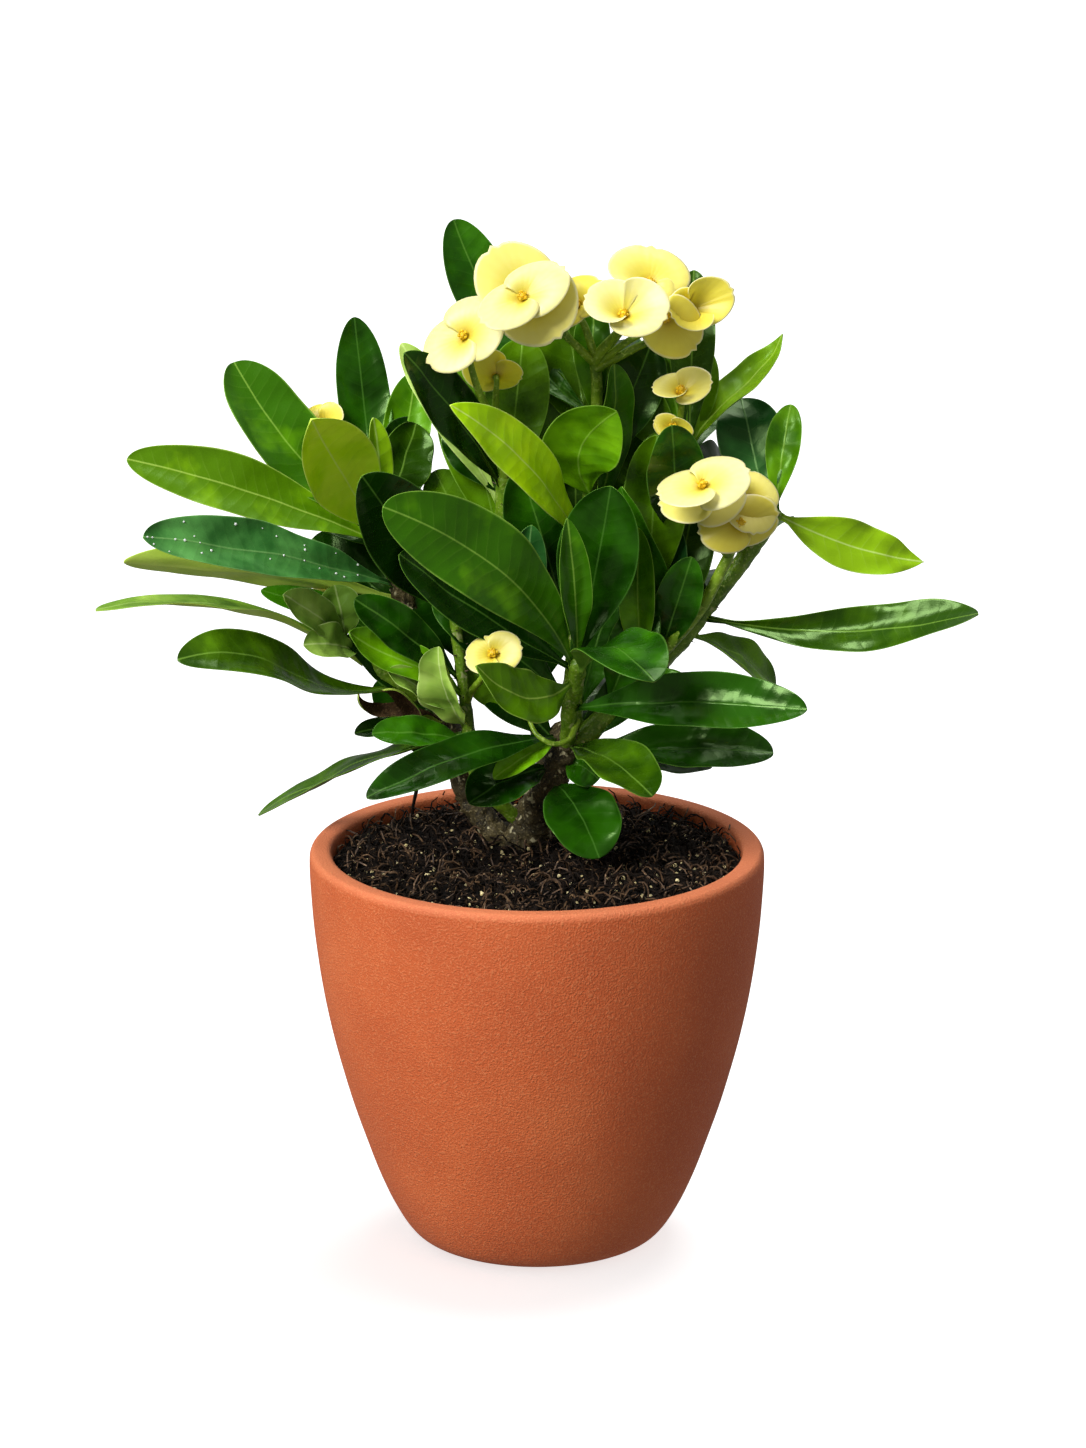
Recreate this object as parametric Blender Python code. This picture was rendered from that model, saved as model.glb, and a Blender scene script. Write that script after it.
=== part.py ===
"""Potted euphorbia: a crown of thorns plant growing in a round terracotta pot.

Metres, +Z up, origin at the centre of the pot's base, +X to the plant's right, -Y its front.
Each leaf, flower, stem and stalk is one closed solid, and so are the soil and the pot.
"""
import math

import bmesh
import bpy
from mathutils import Vector

for old in list(bpy.data.objects):
    bpy.data.objects.remove(old, do_unlink=True)

# ---------------------------------------------------------------- driving dimensions (metres)
POT_HEIGHT = 0.152
POT_RADIUS = 0.085
POT_WALL = 0.0085
POT_FLOOR = 0.010
POT_FOOT_RADIUS = 0.042
SOIL_BELOW_RIM = 0.0065
FIT_GAP = 0.0003
PLANT_SCALE = 1.0
STEM_THICKNESS = 1.0
LEAF_THICKNESS = 0.0009
LEAF_WIDTH = 1.0
BRACT_THICKNESS = 0.0008
BRACT_SIZE = 1.0

MM = 0.001
SOIL_TOP = POT_HEIGHT - SOIL_BELOW_RIM
NOMINAL_SOIL_TOP = 145.5


def place(x, y, z):
    """A point of the plant, given in millimetres above the nominal pot's base."""
    rise = (z - NOMINAL_SOIL_TOP) * MM * PLANT_SCALE
    return Vector((x * MM * PLANT_SCALE, y * MM * PLANT_SCALE, SOIL_TOP + rise))


# ---------------------------------------------------------------- materials
def material(name, red, green, blue, roughness):
    made = bpy.data.materials.new(name)
    made.use_nodes = True
    shader = made.node_tree.nodes["Principled BSDF"]
    shader.inputs["Base Color"].default_value = (red, green, blue, 1.0)
    shader.inputs["Roughness"].default_value = roughness
    return made


# ---------------------------------------------------------------- mesh helpers
def solid(name, points, faces, colour, roughness=0.6, smooth=True):
    """One closed mesh object with its own material, faces turned outward."""
    mesh = bpy.data.meshes.new(name)
    mesh.from_pydata([tuple(point) for point in points], [], faces)
    shape = bmesh.new()
    shape.from_mesh(mesh)
    bmesh.ops.recalc_face_normals(shape, faces=shape.faces)
    bmesh.ops.triangulate(shape, faces=shape.faces)
    for face in shape.faces:
        face.smooth = smooth
    shape.to_mesh(mesh)
    shape.free()
    made = bpy.data.objects.new(name, mesh)
    bpy.context.scene.collection.objects.link(made)
    made.data.materials.append(material(name + "_finish", *colour, roughness))
    return made


def turned(name, outline, sides, colour, roughness=0.8):
    """A solid of revolution about +Z from (radius, height) pairs that start and end on the axis."""
    points = []
    faces = []
    rings = []
    for radius, height in outline:
        if radius < 1e-7:
            rings.append([len(points)])
            points.append((0.0, 0.0, height))
            continue
        ring = []
        for side in range(sides):
            angle = 2.0 * math.pi * side / sides
            ring.append(len(points))
            points.append((radius * math.cos(angle), radius * math.sin(angle), height))
        rings.append(ring)
    for lower, upper in zip(rings, rings[1:]):
        for side in range(sides):
            after = (side + 1) % sides
            if len(lower) == 1:
                faces.append((lower[0], upper[after], upper[side]))
            elif len(upper) == 1:
                faces.append((lower[side], lower[after], upper[0]))
            else:
                faces.append((lower[side], lower[after], upper[after], upper[side]))
    return solid(name, points, faces, colour, roughness)


def smooth_path(path, pieces):
    """Catmull-Rom points through (point, radius) knots, with the radius carried along."""
    knots = [path[0]] + list(path) + [path[-1]]
    result = []
    for index in range(1, len(knots) - 2):
        before, start, end, after = knots[index - 1:index + 3]
        for step in range(pieces):
            t = step / pieces
            point = 0.5 * (
                2.0 * start[0]
                + (end[0] - before[0]) * t
                + (2.0 * before[0] - 5.0 * start[0] + 4.0 * end[0] - after[0]) * t * t
                + (3.0 * start[0] - before[0] - 3.0 * end[0] + after[0]) * t * t * t
            )
            result.append((point, start[1] + (end[1] - start[1]) * t))
    result.append(path[-1])
    return result


def tube_mesh(path, sides):
    """Points and faces of a closed round rod that follows (point, radius) knots."""
    points = []
    faces = []
    count = len(path)
    across = None
    for index, (centre, radius) in enumerate(path):
        ahead = path[min(index + 1, count - 1)][0]
        behind = path[max(index - 1, 0)][0]
        along = (ahead - behind).normalized()
        if across is None:
            across = along.cross(Vector((0.0, 1.0, 0.0))).normalized()
        across = (across - along * across.dot(along)).normalized()
        other = along.cross(across)
        for side in range(sides):
            angle = 2.0 * math.pi * side / sides
            arm = across * math.cos(angle) + other * math.sin(angle)
            points.append(centre + arm * radius)
    for ring in range(count - 1):
        for side in range(sides):
            after = (side + 1) % sides
            low = ring * sides
            high = low + sides
            faces.append((low + side, low + after, high + after, high + side))
    faces.append(tuple(reversed(range(sides))))
    faces.append(tuple(range((count - 1) * sides, count * sides)))
    return points, faces


def applied(target, other, operation):
    """The target joined with or cut by the other solid; the other one is used up."""
    change = target.modifiers.new("change", "BOOLEAN")
    change.operation = operation
    change.solver = "EXACT"
    change.object = other
    bpy.context.view_layer.update()
    graph = bpy.context.evaluated_depsgraph_get()
    mesh = bpy.data.meshes.new_from_object(target.evaluated_get(graph))
    target.modifiers.clear()
    target.data = mesh
    bpy.data.objects.remove(other, do_unlink=True)
    finish = target.data.materials[0]
    target.data.materials.clear()
    target.data.materials.append(finish)
    for face in target.data.polygons:
        face.material_index = 0
        face.use_smooth = True
    return target


# ---------------------------------------------------------------- pot
def pot_outside(height):
    """Outer radius of the pot at a height: a bowl-bottomed cone that stands nearly upright above."""
    share = height / POT_HEIGHT
    foot = POT_FOOT_RADIUS / POT_RADIUS
    knots = (
        (0.000, foot), (0.008, foot + 0.065), (0.033, foot + 0.106), (0.069, foot + 0.135), (0.112, foot + 0.167),
        (0.191, 0.722), (0.270, 0.772), (0.349, 0.820), (0.428, 0.860), (0.507, 0.898),
        (0.586, 0.928), (0.658, 0.952), (0.737, 0.971), (0.813, 0.985), (0.888, 0.996),
        (0.961, 1.000), (0.984, 0.994), (0.997, 0.975),
    )
    for (low, low_size), (high, high_size) in zip(knots, knots[1:]):
        if share <= high:
            return POT_RADIUS * (low_size + (high_size - low_size) * (share - low) / (high - low))
    return POT_RADIUS * knots[-1][1]


def pot_inside(height):
    """Inner radius of the pot at a height above its inner floor."""
    return pot_outside(height) - POT_WALL


OUTSIDE_SHARES = (0.0, 0.008, 0.033, 0.069, 0.112, 0.191, 0.349, 0.507, 0.658, 0.813, 0.888, 0.961, 0.984, 0.997)
INSIDE_SHARES = (0.99, 0.97, 0.94, 0.90, 0.813, 0.658, 0.507, 0.349, 0.20, 0.12)

pot_outline = [(0.0, 0.0)]
for share in OUTSIDE_SHARES:
    pot_outline.append((pot_outside(share * POT_HEIGHT), share * POT_HEIGHT))
pot_outline.append((POT_RADIUS * 0.975 - POT_WALL * 0.35, POT_HEIGHT))
pot_outline.append((POT_RADIUS * 0.975 - POT_WALL * 0.58, POT_HEIGHT * 0.998))
for share in INSIDE_SHARES:
    inner = min(pot_inside(share * POT_HEIGHT), POT_RADIUS - POT_WALL - 0.0004)
    pot_outline.append((inner, share * POT_HEIGHT))
pot_outline.append((pot_inside(POT_FLOOR + 0.004) - 0.003, POT_FLOOR + 0.002))
pot_outline.append((pot_inside(POT_FLOOR + 0.004) - 0.008, POT_FLOOR))
pot_outline.append((0.0, POT_FLOOR))
turned("pot", pot_outline, 48, (0.55, 0.17, 0.06), 0.85)

# ---------------------------------------------------------------- stems, as (x, y, z, radius) in millimetres
STEMS = {
    "trunk": (
        (-8, 13, 130, 9.0), (-7, 13, 141, 10.0), (-4, 13, 148, 9.4), (-1, 12, 158, 8.0),
        (3, 10, 170, 6.9), (8, 8, 183, 6.0), (11, 7, 194, 5.2),
    ),
    "centre_stem": (
        (13, 9, 199, 3.9), (14, 12, 216, 3.7), (16, 14, 240, 3.5), (19, 14, 270, 3.3),
        (21, 13, 295, 3.0), (22, 12, 312, 2.8),
    ),
    "front_shoot": ((12, -1, 199, 3.0), (12, -4, 207, 3.1), (14, -8, 216, 3.2), (15, -12, 226, 3.2)),
    "left_centre_stem": (
        (3, 15, 187, 3.4), (-3, 19, 203, 3.6), (-9, 20, 228, 3.6), (-12, 16, 260, 3.4), (-12, 12, 290, 3.0),
    ),
    "left_inner_shoot": (
        (-15, 9, 167, 2.4), (-22, 5, 176, 2.4), (-25, 4, 192, 2.4), (-27, 4, 210, 2.3), (-31, 4, 244, 2.0),
    ),
    "left_branch": (
        (-19, 17, 156, 4.6), (-27, 20, 169, 4.5), (-33, 20, 191, 4.2), (-37, 20, 210, 4.0),
        (-45, 18, 231, 3.6), (-53, 15, 254, 3.2), (-58, 14, 272, 2.8),
    ),
    "left_shoot": ((-43, 14, 205, 2.4), (-51, 10, 211, 2.4), (-62, 9, 220, 2.2), (-71, 9, 229, 2.0)),
    "right_branch": (
        (18, 8, 193, 4.4), (25, 9, 200, 4.3), (33, 10, 208, 4.1), (42, 12, 217, 3.9), (53, 12, 228, 3.7),
        (62, 12, 240, 3.4), (77, 12, 260, 3.1), (88, 11, 277, 2.8),
    ),
    "right_inner_stem": (
        (37, 17, 220, 3.1), (42, 19, 238, 3.2), (48, 19, 262, 3.0), (53, 17, 284, 2.7), (56, 15, 299, 2.5),
    ),
}


# The stem that each one grows from.
MOTHERS = {
    "centre_stem": "trunk", "front_shoot": "trunk", "left_centre_stem": "trunk", "right_branch": "trunk",
    "left_inner_shoot": "trunk", "left_branch": "trunk", "left_shoot": "left_branch",
    "right_inner_stem": "right_branch",
}


def stem_knots(name):
    """A stem's knots in metres. One that grows from another moves off it as both get thicker."""
    thick = MM * STEM_THICKNESS * PLANT_SCALE
    shift = Vector((0.0, 0.0, 0.0))
    if name in MOTHERS:
        first = Vector(STEMS[name][0][:3])
        near = min(STEMS[MOTHERS[name]], key=lambda knot: (Vector(knot[:3]) - first).length)
        apart = (near[3] + STEMS[name][0][3]) * MM * PLANT_SCALE * (STEM_THICKNESS - 1.0)
        shift = (first - Vector(near[:3])).normalized() * apart
    return [(place(x, y, z) + shift, radius * thick) for x, y, z, radius in STEMS[name]]


STEM_COLOURS = {
    "trunk": (0.10, 0.085, 0.055), "left_branch": (0.11, 0.09, 0.05), "left_centre_stem": (0.10, 0.12, 0.04),
    "right_branch": (0.12, 0.10, 0.055),
}
for stem_name in STEMS:
    stem_sides = 12 if stem_name == "trunk" else 8
    stem_points, stem_faces = tube_mesh(smooth_path(stem_knots(stem_name), 2), stem_sides)
    solid(stem_name, stem_points, stem_faces, STEM_COLOURS.get(stem_name, (0.12, 0.20, 0.05)), 0.6)

# ---------------------------------------------------------------- soil, with a socket for the trunk's foot
soil_outline = [(0.0, POT_FLOOR + FIT_GAP)]
soil_outline.append((pot_inside(POT_FLOOR + 0.004) - 0.009, POT_FLOOR + FIT_GAP))
soil_outline.append((pot_inside(POT_FLOOR + 0.004) - 0.004, POT_FLOOR + 0.002 + FIT_GAP * 2.0))
for share in reversed(INSIDE_SHARES):
    if share * POT_HEIGHT < SOIL_TOP - 0.003:
        inner = min(pot_inside(share * POT_HEIGHT), POT_RADIUS - POT_WALL - 0.0004)
        soil_outline.append((inner - FIT_GAP * 1.5, share * POT_HEIGHT))
soil_outline.append((POT_RADIUS - POT_WALL - 0.0004 - FIT_GAP * 2.0, SOIL_TOP - 0.0010))
for reach, lift in ((0.93, 0.0), (0.78, 0.0008), (0.55, -0.0003), (0.30, 0.0006)):
    soil_outline.append(((POT_RADIUS - POT_WALL) * reach, SOIL_TOP + lift))
soil_outline.append((0.0, SOIL_TOP))
soil = turned("soil", soil_outline, 48, (0.018, 0.012, 0.008), 0.95)

foot = [(point, radius + FIT_GAP * 1.6) for point, radius in smooth_path(stem_knots("trunk"), 2)]
below = foot[0][0] - Vector((0.0, 0.0, FIT_GAP * 1.6))
foot = [(below, foot[0][1])] + foot[1:]
socket_points, socket_faces = tube_mesh(foot, 12)
socket = solid("socket_cutter", socket_points, socket_faces, (0.5, 0.5, 0.5))
applied(soil, socket, "DIFFERENCE")

# ---------------------------------------------------------------- leaves
# name: stem, share of the way up it, tip (mm), width (mm), upper face (heading, tilt in degrees),
#       arch, bow and wave of the midrib (mm), twist (degrees), cup (share of the half width), widest part
LEAVES = {
    "leaf_left_a": ("left_branch", 0.97, (-112, 26, 331), 29, (300, 25), 4, -7, 0, 0, 0.15, 0.62),
    "leaf_left_b": ("left_branch", 0.93, (-149, -16, 304), 24, (280, 38), 6, 0, 0, 0, 0.15, 0.60),
    "leaf_left_c": ("left_branch", 0.80, (-141, -51, 283.6), 22, (280, 40), 5, 0, 0, 0, 0.20, 0.62),
    "leaf_left_d": ("left_branch", 0.76, (-154, 22, 256), 21, (90, 45), 3, 0, 0, 0, 0.10, 0.60),
    "leaf_left_e": ("left_shoot", 0.72, (-160, -34, 252), 17, (0, 88), 11, 0, 0, 0, 0.10, 0.60),
    "leaf_left_f": ("left_shoot", 0.40, (-130, -44, 236), 23, (270, 55), 1, 0, -6, 30, 0.15, 0.60),
    "leaf_left_g": ("left_branch", 0.99, (-68, 46, 344), 20, (280, 10), -4, 0, 0, 0, 0.15, 0.60),
    "leaf_left_h": ("left_branch", 0.96, (-81, -34, 323), 29, (270, 30), -4, 0, 0, 0, 0.20, 0.57),
    "leaf_left_j": ("left_branch", 1.00, (-45, 30, 307), 20, (290, 15), 2, 0, 0, 0, 0.20, 0.60),
    "leaf_top_n": ("left_centre_stem", 0.98, (-48, -11, 342.2), 22, (300, 25), 3, 0, 0, 0, 0.15, 0.58),
    "leaf_top_o": ("centre_stem", 0.55, (-31, -38, 329), 22, (300, 30), 6, 3, 0, 0, 0.10, 0.54),
    "leaf_top_p": ("centre_stem", 0.70, (29, -12, 321), 29, (268, 12), 2, -9, 0, 0, 0.15, 0.60),
    "leaf_top_r": ("centre_stem", 0.62, (28, 4, 335), 16, (310, 5), 2, 3, 0, 0, 0.15, 0.62),
    "leaf_top_s": ("right_inner_stem", 0.92, (29, 30, 330), 20, (250, 10), 3, 0, 0, 0, 0.15, 0.60),
    "leaf_right_s": ("right_inner_stem", 0.58, (49, -13, 316), 22, (280, 20), 5, 0, 0, 0, 0.15, 0.62),
    "leaf_right_t": ("right_inner_stem", 1.00, (91, 34, 340), 15, (225, 30), 0, 0, 3, 0, 0.25, 0.50),
    "leaf_top_y": ("centre_stem", 1.00, (-31, 50, 380), 24, (290, 15), -8, -5, 0, 0, 0.15, 0.64),
    "leaf_front_a": ("front_shoot", 0.98, (-55, -52, 295), 31, (250, 35), 8, 8, 0, 0, 0.12, 0.62),
    "leaf_front_b": ("front_shoot", 0.90, (-50, -26, 271), 24, (240, 50), -3, 0, 0, 0, 0.15, 0.60),
    "leaf_front_c": ("left_inner_shoot", 0.98, (-63, -34, 302), 31, (275, 25), 4, 0, 0, 0, 0.15, 0.60),
    "leaf_front_e": ("front_shoot", 1.00, (27, -16, 294), 30, (262, 12), -3, 0, 0, 0, 0.15, 0.60),
    "leaf_front_g": ("right_branch", 0.60, (31, -4, 291), 14, (250, 10), 3, 0, 0, 60, 0.15, 0.60),
    "leaf_front_i": ("front_shoot", 0.90, (42, -66, 234), 31, (282, 62), 11, 0, 0, 0, 0.12, 0.60),
    "leaf_front_j": ("front_shoot", 0.75, (-22, -48, 235), 21, (262, 30), 0, -9, 0, 0, 0.10, 0.55),
    "leaf_right_l": ("front_shoot", 0.35, (98, -46, 218), 22, (275, 33), 7, 0, 0, 0, 0.20, 0.60),
    "leaf_right_m": ("trunk", 0.88, (88, 0, 188), 22, (280, 55), 3, 0, 0, 0, 0.20, 0.66),
    "leaf_right_n": ("trunk", 0.93, (42, -42, 184), 24, (285, 55), 5, 0, 0, 0, 0.15, 0.62),
    "leaf_right_o": ("right_branch", 0.62, (90, 30, 204), 18, (280, 60), 4, 0, 0, 0, 0.15, 0.60),
    "leaf_low_p": ("trunk", 0.74, (23, -28, 156), 28, (280, 40), 6, 0, 0, 0, 0.10, 0.60),
    "leaf_right_w": ("right_branch", 0.70, (161, -24, 248), 19, (270, 38), -4, 5, 0, 60, 0.20, 0.74),
    "leaf_right_v": ("right_branch", 1.00, (144, 22, 256), 19, (262, 22), 3, 3, 0, 20, 0.20, 0.46),
    "leaf_low_q": ("trunk", 0.97, (-62, -44, 184), 18, (260, 48), 6, 0, 0, 0, 0.15, 0.60),
    "leaf_low_r": ("trunk", 0.80, (-25, -18, 174), 21, (260, 45), 4, 0, 0, 0, 0.15, 0.60),
    "leaf_low_s": ("left_inner_shoot", 0.55, (-105, 20, 158), 15, (200, 75), 4, 0, 0, 0, 0.10, 0.60),
    "leaf_shoot_a": ("left_shoot", 1.00, (-93, -11, 252), 14, (300, 20), 3, 0, 0, 0, 0.20, 0.60),
    "leaf_shoot_b": ("left_inner_shoot", 0.80, (-67, -10, 250), 17, (270, 35), 3, 0, 0, 0, 0.15, 0.60),
}
LEAF_STATIONS = (0.0, 0.10, 0.25, 0.42, 0.58, 0.74, 0.88, 0.965, 1.0)
LEAF_ACROSS = (-1.0, -0.45, 0.45, 1.0)


def along_stem(name, share):
    """Centre, direction and radius of a stem at a share of the way from its foot to its top."""
    path = smooth_path(stem_knots(name), 4)
    place_at = min(share, 1.0) * (len(path) - 1)
    index = min(int(place_at), len(path) - 2)
    part = place_at - index
    (low, low_radius), (high, high_radius) = path[index], path[index + 1]
    return low + (high - low) * part, (high - low).normalized(), low_radius + (high_radius - low_radius) * part


def leaf_half_width(t, widest):
    """Half width of a spoon-shaped leaf as a share of its widest, t running from foot to tip."""
    if t < widest:
        return math.sin(math.pi * 0.5 * t / widest) ** 1.25
    blunt = 0.5 + max(0.62 - widest, 0.0) * 3.0
    return max(1.0 - ((t - widest) / (1.0 - widest)) ** 2.2, 0.0) ** blunt


def facing(heading, tilt):
    """Unit vector for a compass heading (0 right, 90 back, 270 front) and a tilt above level."""
    level = math.cos(math.radians(tilt))
    return Vector((
        math.cos(math.radians(heading)) * level,
        math.sin(math.radians(heading)) * level,
        math.sin(math.radians(tilt)),
    ))


def leaf(name, stem, share, tip, width, face, arch, bow, wave, twist, cup, widest):
    centre, direction, radius = along_stem(stem, share)
    end = place(*tip)
    out = end - centre
    if share < 0.99:
        out = out - direction * out.dot(direction)
    start = centre + out.normalized() * (radius + FIT_GAP * 2.0 + LEAF_THICKNESS)
    chord = end - start
    along = chord.normalized()
    upper = facing(*face)
    upper = (upper - along * upper.dot(along)).normalized()
    points = []
    faces = []
    half = width * 0.5 * MM * LEAF_WIDTH * PLANT_SCALE
    sideways = along.cross(upper)
    for t in LEAF_STATIONS:
        hump = 4.0 * t * (1.0 - t)
        lean = 4.0 * (1.0 - 2.0 * t)
        rise = arch * hump + wave * 2.5 * hump * (1.0 - 2.0 * t)
        rise_slope = arch * lean + wave * 10.0 * (1.0 - 6.0 * t + 6.0 * t * t)
        middle = start + chord * t + (upper * rise + sideways * bow * hump) * MM * PLANT_SCALE
        forward = (chord + (upper * rise_slope + sideways * bow * lean) * MM * PLANT_SCALE).normalized()
        side = forward.cross(upper).normalized()
        up = side.cross(forward)
        turn = math.radians(twist) * (t - 0.5)
        side, up = side * math.cos(turn) + up * math.sin(turn), up * math.cos(turn) - side * math.sin(turn)
        reach = max(half * leaf_half_width(t, widest), 0.0009)
        for s in LEAF_ACROSS:
            lift = cup * reach * s * s + LEAF_THICKNESS * (0.25 if abs(s) == 1.0 else 0.5)
            points.append(middle + side * reach * s + up * lift)
        for s in reversed(LEAF_ACROSS):
            lift = cup * reach * s * s - LEAF_THICKNESS * (0.25 if abs(s) == 1.0 else 0.5)
            points.append(middle + side * reach * s + up * lift)
    ring = 2 * len(LEAF_ACROSS)
    for station in range(len(LEAF_STATIONS) - 1):
        low = station * ring
        for corner in range(ring):
            after = (corner + 1) % ring
            faces.append((low + corner, low + after, low + ring + after, low + ring + corner))
    # The two ends are closed with strips, so that no face is badly bent.
    for low in (0, (len(LEAF_STATIONS) - 1) * ring):
        for corner in range(len(LEAF_ACROSS) - 1):
            faces.append((low + corner, low + corner + 1, low + ring - 2 - corner, low + ring - 1 - corner))
    return solid(name, points, faces, LEAF_COLOURS.get(name, (0.035, 0.10, 0.03)), 0.35)


LEAF_COLOURS = {
    "leaf_left_h": (0.25, 0.33, 0.07), "leaf_top_o": (0.22, 0.32, 0.06), "leaf_front_j": (0.16, 0.32, 0.06),
    "leaf_left_b": (0.15, 0.25, 0.07), "leaf_shoot_a": (0.28, 0.33, 0.14), "leaf_right_v": (0.13, 0.22, 0.08),
}
for leaf_name, leaf_values in LEAVES.items():
    leaf(leaf_name, *leaf_values)

# ---------------------------------------------------------------- flowers
# name: centre (mm), facing (heading, tilt), spin of the bract pair (degrees), radius (mm)
FLOWERS = {
    "flower_top_left": ((-4, -22, 366), (265, 35), 0, 16.5),
    "flower_top_low": ((-26, -9, 348), (240, 28), 20, 16.5),
    "flower_back": ((-15, 6, 330), (95, 25), 0, 12.0),
    "flower_top_centre": ((31, -22, 359), (275, 60), 10, 16.5),
    "flower_top_right": ((58, 1, 356), (305, 25), 60, 14.0),
    "flower_top_back": ((44, 20, 363), (90, 60), 0, 17.0),
    "flower_right": ((54, 0, 327), (270, 60), 0, 11.5),
    "flower_right_cup": ((60, -26, 296), (265, 60), 0, 16.0),
    "flower_right_low": ((78, -4, 285), (305, 45), 30, 13.5),
    "flower_low": ((-16.3, -28.5, 234), (265, 35), 0, 8.6),
}
FLOWER_SIDES = 14


def flower(name, centre, face, spin, radius):
    """A pair of kidney-shaped bracts around a small cup, as one thin saucer with a boss."""
    middle = place(*centre)
    up = facing(*face)
    across = Vector((0.0, 0.0, 1.0)).cross(up).normalized()
    other = up.cross(across)
    turn = math.radians(spin)
    across, other = (
        across * math.cos(turn) + other * math.sin(turn),
        other * math.cos(turn) - across * math.sin(turn),
    )
    size = radius * MM * BRACT_SIZE * PLANT_SCALE
    boss = 0.0032 * PLANT_SCALE

    def ring(reach, lift, wavy):
        made = []
        for side in range(FLOWER_SIDES):
            angle = 2.0 * math.pi * (side + 0.5) / FLOWER_SIDES
            away = min(abs(math.degrees(angle) % 180.0 - 90.0), 90.0)
            notch = 0.16 * math.exp(-((away / 16.0) ** 2)) if wavy else 0.0
            spread = reach * (1.0 - notch)
            raised = lift + (0.10 * size * math.cos(2.0 * angle) if wavy else 0.0)
            made.append(
                middle + across * spread * math.cos(angle) + other * spread * math.sin(angle) + up * raised
            )
        return made

    thin = BRACT_THICKNESS
    rings = [
        ring(boss * 0.6, thin * 0.5 + 0.0022, False),
        ring(boss, thin * 0.5 + 0.0004, False),
        ring(size * 0.62, thin * 0.5 + size * 0.14, False),
        ring(size, thin * 0.2 + size * 0.12, True),
        ring(size * 0.62, -thin * 0.5 + size * 0.14, False),
        ring(boss * 0.8, -thin * 0.5 - 0.0002, False),
    ]
    points = [point for made in rings for point in made]
    faces = [tuple(range(FLOWER_SIDES))]
    for low in range(len(rings) - 1):
        for side in range(FLOWER_SIDES):
            after = (side + 1) % FLOWER_SIDES
            first = low * FLOWER_SIDES
            second = first + FLOWER_SIDES
            faces.append((first + side, first + after, second + after, second + side))
    last = (len(rings) - 1) * FLOWER_SIDES
    faces.append(tuple(reversed(range(last, last + FLOWER_SIDES))))
    return solid(name, points, faces, (0.78, 0.66, 0.28), 0.5)


for flower_name, flower_values in FLOWERS.items():
    flower(flower_name, *flower_values)


# ---------------------------------------------------------------- flower stalks
def behind(flower_name, distance=0.0):
    """The point under a flower's cup, a fit gap away and further back by the distance in mm."""
    centre, face, spin, radius = FLOWERS[flower_name]
    back = BRACT_THICKNESS * 0.5 + 0.0002 + FIT_GAP * 3.0 + distance * MM * PLANT_SCALE
    return place(*centre) - facing(*face) * back


def stalk(name, main, forks, colour):
    """A forked green stalk: one rod, with a thinner rod joined on for each further flower."""
    thick = MM * STEM_THICKNESS * PLANT_SCALE
    points, faces = tube_mesh(smooth_path([(point, radius * thick) for point, radius in main], 2), 7)
    made = solid(name, points, faces, colour, 0.5)
    for fork in forks:
        points, faces = tube_mesh(smooth_path([(point, radius * thick) for point, radius in fork], 2), 6)
        other = solid(name + "_fork", points, faces, colour, 0.5)
        applied(made, other, "UNION")
    return made


GREEN_STALK = (0.20, 0.32, 0.08)
split = place(22, 10, 336)
stalk(
    "stalk_top",
    [(place(22, 12, 316), 1.5), (place(22, 11, 327), 1.5), (split, 1.6), (place(29, 4, 346), 1.1),
     (behind("flower_top_centre", 3), 0.9), (behind("flower_top_centre"), 0.9)],
    [
        [(place(22, 10, 334), 1.2), (place(12, 6, 344), 1.0), (place(2, 1, 353), 0.9),
         (behind("flower_top_left", 3), 0.9), (behind("flower_top_left"), 0.9)],
        [(place(22, 11, 334.5), 1.2), (place(31, 12, 346), 1.0), (place(42, 8, 357), 0.9),
         (behind("flower_top_back", 3), 0.9), (behind("flower_top_back"), 0.9)],
        [(place(22.5, 10, 333), 1.2), (place(36, 8, 341), 1.0), (place(51, 4, 349), 0.9),
         (behind("flower_top_right", 3), 0.9), (behind("flower_top_right"), 0.9)],
    ],
    GREEN_STALK,
)
stalk(
    "stalk_left",
    [(place(-12, 11, 294), 1.5), (place(-12, 7, 305), 1.4), (place(-15, 5, 317), 1.2),
     (behind("flower_back", 3), 0.9), (behind("flower_back"), 0.9)],
    [
        [(place(-13, 6, 309), 1.2), (place(-20, -5, 324), 1.0), (place(-24, -11, 337), 0.9),
         (behind("flower_top_low", 3), 0.9), (behind("flower_top_low"), 0.9)],
    ],
    GREEN_STALK,
)
stalk(
    "stalk_right",
    [(place(55, 6, 236), 1.5), (place(61, 3, 244), 1.5), (place(70, 2, 262), 1.3), (place(74, -1, 276), 1.1),
     (behind("flower_right_low", 3), 0.9), (behind("flower_right_low"), 0.9)],
    [
        [(place(71, 2, 266), 1.2), (place(68, 1, 276), 1.0), (place(63, -1, 286), 0.9),
         (behind("flower_right_cup", 3), 0.9), (behind("flower_right_cup"), 0.9)],
    ],
    GREEN_STALK,
)
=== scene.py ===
"""Potted euphorbia: the finished look of a crown of thorns plant in a terracotta pot.

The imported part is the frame. Leaves, flowers, stems, soil and pot are built here in fine
detail over its solids, and everything rides on its one body.
"""
import math

import bpy
import numpy as np
from bpy.props import FloatProperty, IntProperty, PointerProperty
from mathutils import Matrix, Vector, noise


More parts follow.
